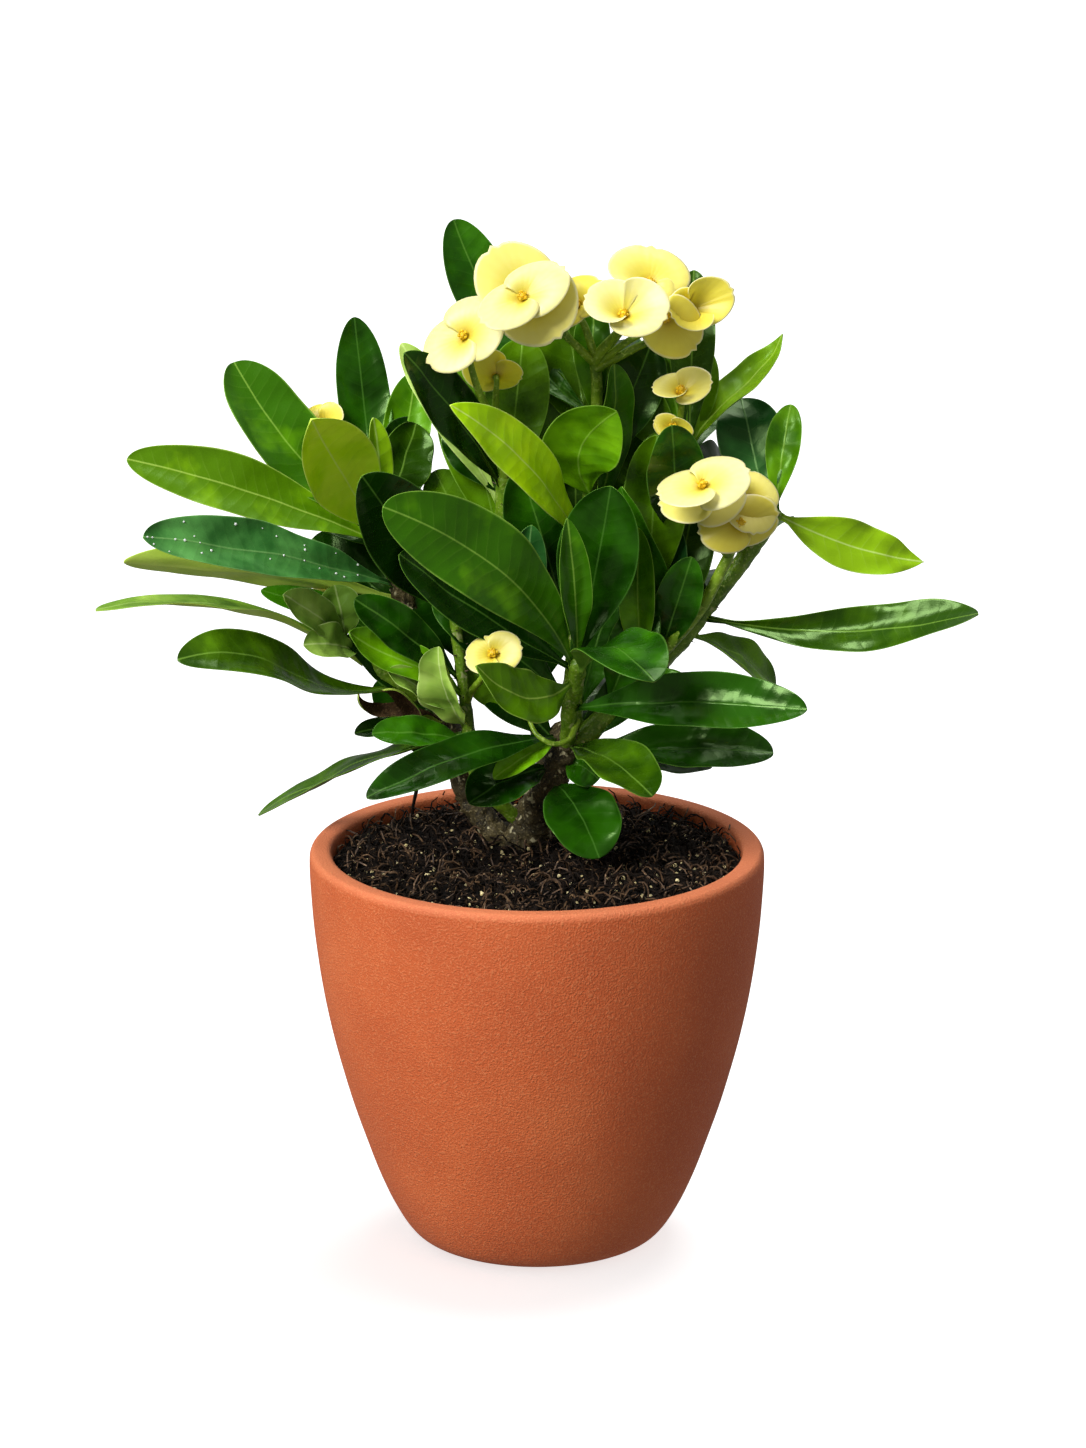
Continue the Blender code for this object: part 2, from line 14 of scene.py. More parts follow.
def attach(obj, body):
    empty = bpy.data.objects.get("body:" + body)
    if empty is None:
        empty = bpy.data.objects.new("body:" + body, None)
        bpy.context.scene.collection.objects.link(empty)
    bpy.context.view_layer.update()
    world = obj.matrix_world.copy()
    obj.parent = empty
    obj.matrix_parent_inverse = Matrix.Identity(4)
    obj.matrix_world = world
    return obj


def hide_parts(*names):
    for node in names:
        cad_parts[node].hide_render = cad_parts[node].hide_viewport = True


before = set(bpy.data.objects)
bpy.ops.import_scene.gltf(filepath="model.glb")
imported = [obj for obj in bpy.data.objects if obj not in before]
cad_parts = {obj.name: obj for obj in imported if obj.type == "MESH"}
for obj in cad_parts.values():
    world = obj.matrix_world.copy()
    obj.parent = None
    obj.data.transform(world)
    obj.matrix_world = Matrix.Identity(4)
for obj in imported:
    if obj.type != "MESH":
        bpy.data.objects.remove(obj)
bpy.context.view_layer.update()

BODY = "root"
MM = 0.001

bl_info = {
    "name": "Potted Euphorbia",
    "version": (1, 0, 0),
    "blender": (4, 5, 0),
    "location": "View3D > Sidebar > Euphorbia",
    "description": "Builds a crown of thorns plant in a terracotta pot",
    "category": "Add Mesh",
}


# ---------------------------------------------------------------- colours and nodes
def shade(code):
    """A linear colour from an sRGB hex code."""
    channels = [int(code[i:i + 2], 16) / 255.0 for i in (1, 3, 5)]
    return [c / 12.92 if c <= 0.04045 else ((c + 0.055) / 1.055) ** 2.4 for c in channels] + [1.0]


def add(tree, kind, links=None, **settings):
    """Adds a node. The settings are its properties, and links gives its sockets values or sources."""
    node = tree.nodes.new(kind)
    for name, value in settings.items():
        setattr(node, name, value)
    for key, value in (links or {}).items():
        socket = node.inputs[key]
        if isinstance(value, bpy.types.NodeSocket):
            tree.links.new(value, socket)
        else:
            socket.default_value = value
    return node


def ramp(tree, source, *stops):
    """A colour ramp over (position, hex colour) stops, read at the source."""
    node = add(tree, "ShaderNodeValToRGB", {0: source})
    cells = node.color_ramp.elements
    while len(cells) < len(stops):
        cells.new(0.5)
    for cell, (position, code) in zip(cells, stops):
        cell.position = position
        cell.color = shade(code)
    return node.outputs[0]


def blend(tree, share, one, two, mode="MIX"):
    """One colour mixed with another by a share."""
    node = add(tree, "ShaderNodeMix", {0: share, 6: one, 7: two}, data_type="RGBA", blend_type=mode)
    return node.outputs[2]


def sums(tree, operation, *values):
    """A maths node's result."""
    return add(tree, "ShaderNodeMath", dict(enumerate(values)), operation=operation).outputs[0]


def finish_named(name):
    """A new material with its tree and its main shader."""
    made = bpy.data.materials.new(name)
    made.use_nodes = True
    tree = made.node_tree
    return made, tree, tree.nodes["Principled BSDF"]


def grain(tree, where, scale, detail=3.0, rough=0.5):
    """Soft noise with a feature size of about 1/scale metres."""
    settings = {"Vector": where, "Scale": scale, "Detail": detail, "Roughness": rough}
    return add(tree, "ShaderNodeTexNoise", settings).outputs[0]


def dab(tree, base, mask, share, code):
    """The base colour with another laid over it where the mask is bright."""
    return blend(tree, sums(tree, "MULTIPLY", mask, share), base, shade(code))


def span(tree, value, low, high):
    """How far a value is from low to high, held between 0 and 1."""
    return add(tree, "ShaderNodeMapRange", {0: value, 1: low, 2: high}).outputs[0]


def raised(tree, shader, height, strength, distance):
    """Gives a finish relief from a height map."""
    bump = add(tree, "ShaderNodeBump", {"Strength": strength, "Distance": distance, "Height": height})
    tree.links.new(bump.outputs[0], shader.inputs["Normal"])


def terracotta():
    """Unglazed fired clay, thrown and sponged: matt, with a fine sandy grain and cloudy colour."""
    made, tree, shader = finish_named("terracotta_unglazed")
    where = add(tree, "ShaderNodeTexCoord").outputs["Object"]
    cloud = grain(tree, where, 22.0, 4.0)
    base = ramp(tree, cloud, (0.30, "#AC4F27"), (0.52, "#B4552A"), (0.72, "#BC5E31"))
    # Grog and sand grains are 0.4 to 0.8 mm across.
    sand = grain(tree, where, 1500.0, 2.0, 0.6)
    light = ramp(tree, sand, (0.60, "#000000"), (0.72, "#FFFFFF"))
    dark = ramp(tree, sand, (0.27, "#FFFFFF"), (0.38, "#000000"))
    base = dab(tree, base, light, 0.30, "#E39A70")
    base = dab(tree, base, dark, 0.40, "#8A3C1C")
    # The lip's top is painted paler than the wall: a painted highlight where the light falls on it from
    # above.
    level = add(tree, "ShaderNodeSeparateXYZ", {0: where}).outputs[2]
    lip_highlight = span(tree, level, 0.1485, 0.1515)
    base = dab(tree, base, lip_highlight, 0.30, "#D28C66")
    # A pebbly skin: soft lumps a millimetre apart in relief, whose tops are painted paler as a painted
    # highlight.
    lumps = grain(tree, where, 1250.0, 2.0, 0.6)
    lump_highlight = ramp(tree, lumps, (0.52, "#000000"), (0.66, "#FFFFFF"))
    base = dab(tree, base, lump_highlight, 0.22, "#E29A66")
    tree.links.new(base, shader.inputs["Base Color"])
    relief = sums(tree, "ADD", lumps, sums(tree, "MULTIPLY", sand, 0.35))
    raised(tree, shader, relief, 0.60, 0.0009)
    tree.links.new(sums(tree, "MULTIPLY_ADD", sand, 0.2, 0.58), shader.inputs["Roughness"])
    shader.inputs["Specular IOR Level"].default_value = 0.25
    return made


def leaf_finish(name, deep, mid, light, rib, gloss):
    """A living leaf's upper skin: waxy and half glossy over pale ribs, quilted between its side veins."""
    made, tree, shader = finish_named(name)
    where = add(tree, "ShaderNodeTexCoord").outputs["Object"]
    blade = add(tree, "ShaderNodeUVMap", uv_map="blade").outputs[0]
    share = add(tree, "ShaderNodeUVMap", uv_map="share").outputs[0]
    tint = add(tree, "ShaderNodeAttribute", attribute_name="tint").outputs["Fac"]
    split = add(tree, "ShaderNodeSeparateXYZ", {0: blade})
    part = add(tree, "ShaderNodeSeparateXYZ", {0: share})
    # blade is in centimetres: along the rib, and out from it.
    along, out = split.outputs[0], sums(tree, "ABSOLUTE", split.outputs[1])
    edge = sums(tree, "ABSOLUTE", part.outputs[1])
    cloud = grain(tree, where, 60.0, 3.0)
    tone = sums(tree, "ADD", sums(tree, "MULTIPLY", cloud, 0.9),
                sums(tree, "MULTIPLY_ADD", tint, 0.5, -0.25))
    base = ramp(tree, tone, (0.33, deep), (0.50, mid), (0.70, light))
    # Side veins leave the rib every 5 mm and lean towards the tip.
    wobble = sums(tree, "MULTIPLY", grain(tree, where, 90.0, 1.0), 0.35)
    phase = sums(tree, "ADD", sums(tree, "SUBTRACT", along, sums(tree, "MULTIPLY", out, 0.55)), wobble)
    wave = sums(tree, "ABSOLUTE", sums(tree, "SINE", sums(tree, "MULTIPLY", phase, 6.3)))
    vein = sums(tree, "SUBTRACT", 1.0, span(tree, wave, 0.0, 0.22))
    fade = span(tree, edge, 0.9, 0.1)
    vein = sums(tree, "MULTIPLY", vein, fade)
    middle = span(tree, out, 0.045, 0.012)
    base = dab(tree, base, vein, 0.06, rib)
    base = dab(tree, base, middle, 0.36, rib)
    rim = span(tree, edge, 0.95, 1.0)
    base = dab(tree, base, rim, 0.5, rib)
    tree.links.new(base, shader.inputs["Base Color"])
    cells = add(tree, "ShaderNodeTexVoronoi", {"Vector": where, "Scale": 1400.0}).outputs[0]
    height = sums(tree, "ADD", sums(tree, "MULTIPLY", wave, 0.26), sums(tree, "MULTIPLY", cells, 0.05))
    height = sums(tree, "SUBTRACT", height, sums(tree, "MULTIPLY", middle, 0.22))
    # The blade swells gently between its ribs, which breaks up the gloss.
    height = sums(tree, "ADD", height, sums(tree, "MULTIPLY", grain(tree, where, 75.0, 1.5), 5.0))
    raised(tree, shader, height, 0.5, 0.0005)
    spots = grain(tree, where, 250.0, 2.0)
    tree.links.new(sums(tree, "MULTIPLY_ADD", spots, 0.16, gloss), shader.inputs["Roughness"])
    shader.inputs["Specular IOR Level"].default_value = 0.36
    shader.inputs["Specular Tint"].default_value = shade("#C4F09A")
    return made


def leaf_back(name, tone, rib):
    """A leaf's underside: paler, duller, with a raised rib."""
    made, tree, shader = finish_named(name)
    where = add(tree, "ShaderNodeTexCoord").outputs["Object"]
    split = add(tree, "ShaderNodeSeparateXYZ", {0: add(tree, "ShaderNodeUVMap", uv_map="blade").outputs[0]})
    out = sums(tree, "ABSOLUTE", split.outputs[1])
    base = blend(tree, grain(tree, where, 80.0), shade(tone), shade(rib))
    middle = span(tree, out, 0.12, 0.03)
    base = dab(tree, base, middle, 0.6, rib)
    tree.links.new(base, shader.inputs["Base Color"])
    cells = grain(tree, where, 1200.0, 2.0)
    raised(tree, shader, cells, 0.2, 0.0004)
    shader.inputs["Roughness"].default_value = 0.5
    shader.inputs["Specular IOR Level"].default_value = 0.2
    shader.inputs["Specular Tint"].default_value = shade("#C4F09A")
    return made


def bract_finish(name, pale, warm, throat_shade):
    """A flower bract: soft waxy tissue with fanning veins, painted shade that deepens its yellow towards the
    throat and a painted highlight at its rim.
    """
    made, tree, shader = finish_named(name)
    where = add(tree, "ShaderNodeTexCoord").outputs["Object"]
    split = add(tree, "ShaderNodeSeparateXYZ", {0: add(tree, "ShaderNodeUVMap", uv_map="share").outputs[0]})
    reach, angle = split.outputs[0], split.outputs[1]
    # The yellow deepens towards the throat as painted shade in the cup, and the paler last stop is a painted
    # highlight along the rim.
    base = ramp(tree, reach, (0.05, throat_shade), (0.20, warm), (0.66, pale), (0.93, pale), (0.98, "#E0D894"))
    lines = sums(tree, "SINE", sums(tree, "MULTIPLY", angle, 44.0))
    lines = sums(tree, "MULTIPLY_ADD", lines, 0.5, 0.5)
    fine = grain(tree, where, 260.0, 3.0)
    base = dab(tree, base, sums(tree, "MULTIPLY", lines, fine), 0.16, warm)
    tree.links.new(base, shader.inputs["Base Color"])
    height = sums(tree, "ADD", sums(tree, "MULTIPLY", lines, 0.5), fine)
    raised(tree, shader, height, 0.12, 0.0004)
    shader.inputs["Roughness"].default_value = 0.45
    shader.inputs["Subsurface Weight"].default_value = 0.25
    shader.inputs["Subsurface Radius"].default_value = (0.003, 0.003, 0.001)
    shader.inputs["Subsurface Scale"].default_value = 1.0
    return made


def water_finish(name):
    """Water, faintly rippled: only partly clear, so that the drops show white as painted glints."""
    made, tree, shader = finish_named(name)
    where = add(tree, "ShaderNodeTexCoord").outputs["Object"]
    tree.links.new(sums(tree, "MULTIPLY", grain(tree, where, 900.0), 0.06), shader.inputs["Roughness"])
    shader.inputs["IOR"].default_value = 1.33
    shader.inputs["Transmission Weight"].default_value = 0.35
    return made


def skin_finish(name, low, high, spot, rough, pitch=1.0, strength=0.5, marks=0.0):
    """Plant skin or bark: two tones clouded together, with darker or paler flecks and a grain in relief."""
    made, tree, shader = finish_named(name)
    where = add(tree, "ShaderNodeTexCoord").outputs["Object"]
    cloud = grain(tree, where, 120.0 * pitch, 4.0, 0.6)
    base = ramp(tree, cloud, (0.32, low), (0.62, high))
    fleck = grain(tree, where, 700.0 * pitch, 2.0, 0.6)
    mask = ramp(tree, fleck, (0.56, "#000000"), (0.66, "#FFFFFF"))
    base = dab(tree, base, mask, 0.55, spot)
    # Pale broken scars, about a millimetre across and a few apart.
    cells = grain(tree, where, 330.0, 1.5)
    scars = span(tree, cells, 0.64, 0.69)
    base = dab(tree, base, scars, marks, "#C8BE96")
    tree.links.new(base, shader.inputs["Base Color"])
    height = sums(tree, "ADD", cloud, sums(tree, "MULTIPLY", fleck, 0.6))
    raised(tree, shader, height, strength, 0.0012)
    shader.inputs["Roughness"].default_value = rough
    shader.inputs["Specular IOR Level"].default_value = 0.12 if rough > 0.65 else 0.25
    return made


# Each finish: the function that makes it and what that function is given.
FINISHES = {
    "terracotta": (terracotta,),
    # Mature leaves are deep green and waxy; the youngest are thin, yellow-green and duller.
    # leaf_deep is the mature green darkened as painted shade, for leaves that lie in the plant's shadow.
    "leaf_deep": (leaf_finish, "leaf_oldest_waxy", "#051A00", "#0C2C01", "#1C4803", "#4C7A2C", 0.15),
    # leaf_bright is lightened past a leaf's own yellow-green as painted light, as if lit through from behind.
    "leaf_bright": (leaf_finish, "leaf_newest_waxy", "#A2D402", "#C0EE0A", "#DAFA34", "#F0FCA0", 0.26),
    "leaf_dark": (leaf_finish, "leaf_mature_waxy", "#0A2801", "#174202", "#2E6404", "#5E8C34", 0.17),
    "leaf_green": (leaf_finish, "leaf_full_waxy", "#1E3C02", "#345602", "#507A05", "#86B044", 0.20),
    "leaf_mid": (leaf_finish, "leaf_grown_waxy", "#2C5A02", "#4C7E03", "#6EA608", "#9CC450", 0.22),
    "leaf_light": (leaf_finish, "leaf_fresh_waxy", "#487003", "#6C9804", "#8EBA10", "#C0DC66", 0.25),
    "leaf_young": (leaf_finish, "leaf_young_thin", "#86B010", "#9ECC20", "#BCE046", "#E2F4A0", 0.32),
    "leaf_olive": (leaf_finish, "leaf_turned_dull", "#40640C", "#638A1E", "#8CAC40", "#B4CC78", 0.38),
    "leaf_pale": (leaf_finish, "leaf_new_pale", "#668A2C", "#8CAC46", "#B2CC6C", "#D8E6A0", 0.40),
    # leaf_blue is a paler blue-green that stands in for gloss: a painted sheen of the pale studio light.
    "leaf_blue": (leaf_finish, "leaf_mature_bloomed", "#184418", "#2C6228", "#4C8840", "#84B068", 0.22),
    "back_mature": (leaf_back, "leaf_underside_mature", "#3C6A0C", "#7CA23C"),
    "back_young": (leaf_back, "leaf_underside_young", "#86A820", "#BCD460"),
    "bract": (bract_finish, "bract_cream_yellow", "#DAD284", "#D2C448", "#BCA01E"),
    "bract_full": (bract_finish, "bract_full_yellow", "#DED268", "#D4C23A", "#B8981A"),
    # bract_deep is an older bract's deeper yellow, also used as painted shade on bracts that are lit less.
    "bract_deep": (bract_finish, "bract_old_shaded_yellow", "#D8C840", "#CCB628", "#A88C12"),
    "gland": (skin_finish, "nectar_gland_waxy", "#CFA010", "#E0BE24", "#A87C0C", 0.30, 4.0, 0.3),
    "stalk": (skin_finish, "flower_stalk_skin", "#4C6C0E", "#7A9822", "#AEC45C", 0.38, 1.0, 0.2),
    "green_stem": (skin_finish, "green_stem_skin", "#3A5A0A", "#648418", "#96A658", 0.36, 1.5, 0.4, 0.35),
    # Woody stems are brown and knobbly; younger ones keep their green skin.
    "bark": (skin_finish, "bark_grey_brown", "#120E07", "#4C4226", "#8C7E56", 0.60, 1.6, 0.9, 0.75),
    "thorn": (skin_finish, "thorn_horny", "#4A4030", "#7A6C50", "#2E261C", 0.45, 3.0, 0.3),
    "soil": (skin_finish, "potting_mix_moist", "#010100", "#060403", "#120C08", 0.80, 2.2, 1.0),
    "fibre": (skin_finish, "coir_fibre_dry", "#1C120A", "#503A26", "#947656", 0.60, 1.0, 0.5),
    "chip": (skin_finish, "bark_chip_rough", "#040302", "#140D08", "#3A2818", 0.78, 3.0, 0.8),
    "perlite": (skin_finish, "perlite_grain", "#B8A468", "#E6D8A8", "#8C7C48", 0.80, 6.0, 0.5),
    "water": (water_finish, "water_drop_white_glint"),
    "leaf_dead": (skin_finish, "dry_leaf_brown", "#24180E", "#503C26", "#7C6444", 0.70, 2.0, 0.6),
}
MADE = {}


def finish(name):
    """The material of that name, made when it is first asked for."""
    if name not in MADE:
        maker, *values = FINISHES[name]
        MADE[name] = maker(*values)
    return MADE[name]


# ---------------------------------------------------------------- mesh helpers
def publish(name, points, faces, finishes, index=None, maps=None, tint=None, nodes=()):
    """A finished piece at the origin that rides on the body and stands for its CAD nodes."""
    mesh = bpy.data.meshes.new(name)
    spots = [tuple(p) for p in np.asarray(points, dtype=float)]
    mesh.from_pydata(spots, [], [tuple(int(i) for i in f) for f in faces])
    for item in finishes:
        mesh.materials.append(finish(item))
    if index is not None:
        mesh.polygons.foreach_set("material_index", np.asarray(index, dtype=np.int32))
    corners = np.zeros(len(mesh.loops), dtype=np.int32)
    mesh.loops.foreach_get("vertex_index", corners)
    for map_name, values in (maps or {}).items():
        layer = mesh.uv_layers.new(name=map_name)
        layer.data.foreach_set("uv", np.asarray(values, dtype=np.float32)[corners].ravel())
    if tint is not None:
        layer = mesh.attributes.new("tint", "FLOAT", "POINT")
        layer.data.foreach_set("value", np.full(len(mesh.vertices), tint, dtype=np.float32))
    mesh.polygons.foreach_set("use_smooth", np.ones(len(mesh.polygons), dtype=bool))
    mesh.update()
    made = bpy.data.objects.new(name, mesh)
    bpy.context.scene.collection.objects.link(made)
    declare(made, nodes)
    return made


def declare(made, nodes=()):
    """Puts a piece on the body and the CAD nodes that it stands for."""
    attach(made, BODY)
    if nodes:
        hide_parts(*nodes)


def smooth_path(knots, pieces):
    """Catmull-Rom rows through rows of x, y, z, radius."""
    knots = np.asarray(knots, dtype=float)
    padded = np.vstack([knots[:1], knots, knots[-1:]])
    rows = []
    for i in range(1, len(padded) - 2):
        a, b, c, d = padded[i - 1:i + 3]
        for step in range(pieces):
            t = step / pieces
            square, cubic = 2 * a - 5 * b + 4 * c - d, 3 * b - a - 3 * c + d
            rows.append(0.5 * (2 * b + (c - a) * t + square * t * t + cubic * t ** 3))
            rows[-1][3] = b[3] + (c[3] - b[3]) * t
    rows.append(knots[-1])
    return np.array(rows)


def walls(rings):
    """Faces between rings of point numbers, any of which may be a single point."""
    faces = []
    for low, high in zip(rings, rings[1:]):
        if len(low) == 1 and len(high) == 1:
            continue
        count = max(len(low), len(high))
        for side in range(count):
            after = (side + 1) % count
            if len(low) == 1:
                faces.append((low[0], high[after], high[side]))
            elif len(high) == 1:
                faces.append((low[side], low[after], high[0]))
            else:
                faces.append((low[side], low[after], high[after], high[side]))
    return faces


def tube(rows, sides, relief=None, tip=True):
    """Points and faces of a closed rod along rows of x, y, z, radius in mm, with rounded ends."""
    centres, radii = rows[:, :3], rows[:, 3]
    along = np.gradient(centres, axis=0)
    along /= np.linalg.norm(along, axis=1)[:, None]
    across = np.cross(along[0], (0.0, 1.0, 0.0))
    points, rings = [], []
    caps = [(0, -0.7, 0.45), (0, -0.35, 0.8)] + [(i, 0.0, 1.0) for i in range(len(rows))]
    if tip:
        caps += [(len(rows) - 1, 0.4, 0.85), (len(rows) - 1, 0.75, 0.5)]
    lengths = np.concatenate([[0], np.cumsum(np.linalg.norm(np.diff(centres, axis=0), axis=1))])
    for i, push, shrink in caps:
        across = across - along[i] * across.dot(along[i])
        across /= np.linalg.norm(across)
        other = np.cross(along[i], across)
        ring = []
        for side in range(sides):
            angle = 2 * math.pi * side / sides
            r = radii[i] * shrink
            if relief:
                r += relief(lengths[i] / max(lengths[-1], 1e-6), lengths[i], angle) * shrink
            ring.append(len(points))
            arm = across * math.cos(angle) + other * math.sin(angle)
            points.append(centres[i] + along[i] * push * radii[i] + arm * r)
        rings.append(ring)
    faces = walls(rings)
    faces.append(tuple(reversed(rings[0])))
    faces.append(tuple(rings[-1]))
    return np.array(points), faces


def bundle(parts):
    """Several (points, faces) sets as one."""
    points, faces, start = [], [], 0
    for some, their in parts:
        points.append(some)
        faces += [tuple(i + start for i in face) for face in their]
        start += len(some)
    return np.vstack(points), faces


# ---------------------------------------------------------------- the plant's layout, in millimetres
# Stems as rows of x, y, z, radius, each running on into the piece that it grows from.
STEMS = {
    "trunk": (
        (-8, 13, 130, 9.0), (-7, 13, 141, 10.0), (-4, 13, 148, 9.4), (-1, 12, 158, 8.0),
        (3, 10, 170, 6.9), (8, 8, 183, 6.0), (11, 7, 194, 5.2),
    ),
    "centre_stem": (
        (13, 9, 199, 3.9), (14, 12, 216, 3.7), (16, 14, 240, 3.5), (19, 14, 270, 3.3),
        (21, 13, 295, 3.0), (22, 12, 312, 2.8),
    ),
    "front_shoot": ((12, -1, 199, 3.0), (12, -4, 207, 3.1), (14, -8, 216, 3.2), (15, -12, 226, 3.2)),
    "left_centre_stem": (
        (3, 15, 187, 3.4), (-3, 19, 203, 3.6), (-9, 20, 228, 3.6), (-12, 16, 260, 3.4), (-12, 12, 290, 3.0),
    ),
    "left_inner_shoot": (
        (-15, 9, 167, 2.4), (-22, 5, 176, 2.4), (-25, 4, 192, 2.4), (-27, 4, 210, 2.3), (-31, 4, 244, 2.0),
    ),
    "left_branch": (
        (-19, 17, 156, 4.6), (-27, 20, 169, 4.5), (-33, 20, 191, 4.2), (-37, 20, 210, 4.0),
        (-45, 18, 231, 3.6), (-53, 15, 254, 3.2), (-58, 14, 272, 2.8),
    ),
    "left_shoot": ((-43, 14, 205, 2.4), (-51, 10, 211, 2.4), (-62, 9, 220, 2.2), (-71, 9, 229, 2.0)),
    "right_branch": (
        (18, 8, 193, 4.4), (25, 9, 200, 4.3), (33, 10, 208, 4.1), (42, 12, 217, 3.9), (53, 12, 228, 3.7),
        (62, 12, 240, 3.4), (77, 12, 260, 3.1), (88, 11, 277, 2.8),
    ),
    "right_inner_stem": (
        (37, 17, 220, 3.1), (42, 19, 238, 3.2), (48, 19, 262, 3.0), (53, 17, 284, 2.7), (56, 15, 299, 2.5),
    ),
}
# Where each stem joins the one that it grows from.
JOINS = {
    "centre_stem": (11, 7, 190, 4.0), "front_shoot": (11, 4, 190, 3.0), "left_centre_stem": (7, 9, 178,
                                                                                             3.6),
    "left_inner_shoot": (-6, 12, 158, 3.0), "left_branch": (-9, 14, 147, 6.0), "left_shoot": (-37, 19, 203,
                                                                                              2.4),
    "right_branch": (9, 8, 185, 4.6), "right_inner_stem": (34, 11, 210, 3.2),
}
BARKY = ("trunk", "left_branch")
# A petiole whose leaf has dropped, curled in front of the trunk.
CURLED_PETIOLE = ((-3, -5, 203, 0.8), (0, -9, 198, 0.9), (6, -11, 195, 1.0), (12, -8, 196, 1.1),
                  (15, -1, 201, 1.3))
# A dry twig that stands in the soil behind the plant.
DRY_TWIG = ((-48.5, 55, 143, 0.8), (-47.6, 54, 151, 0.6), (-46.2, 53, 158, 0.8))
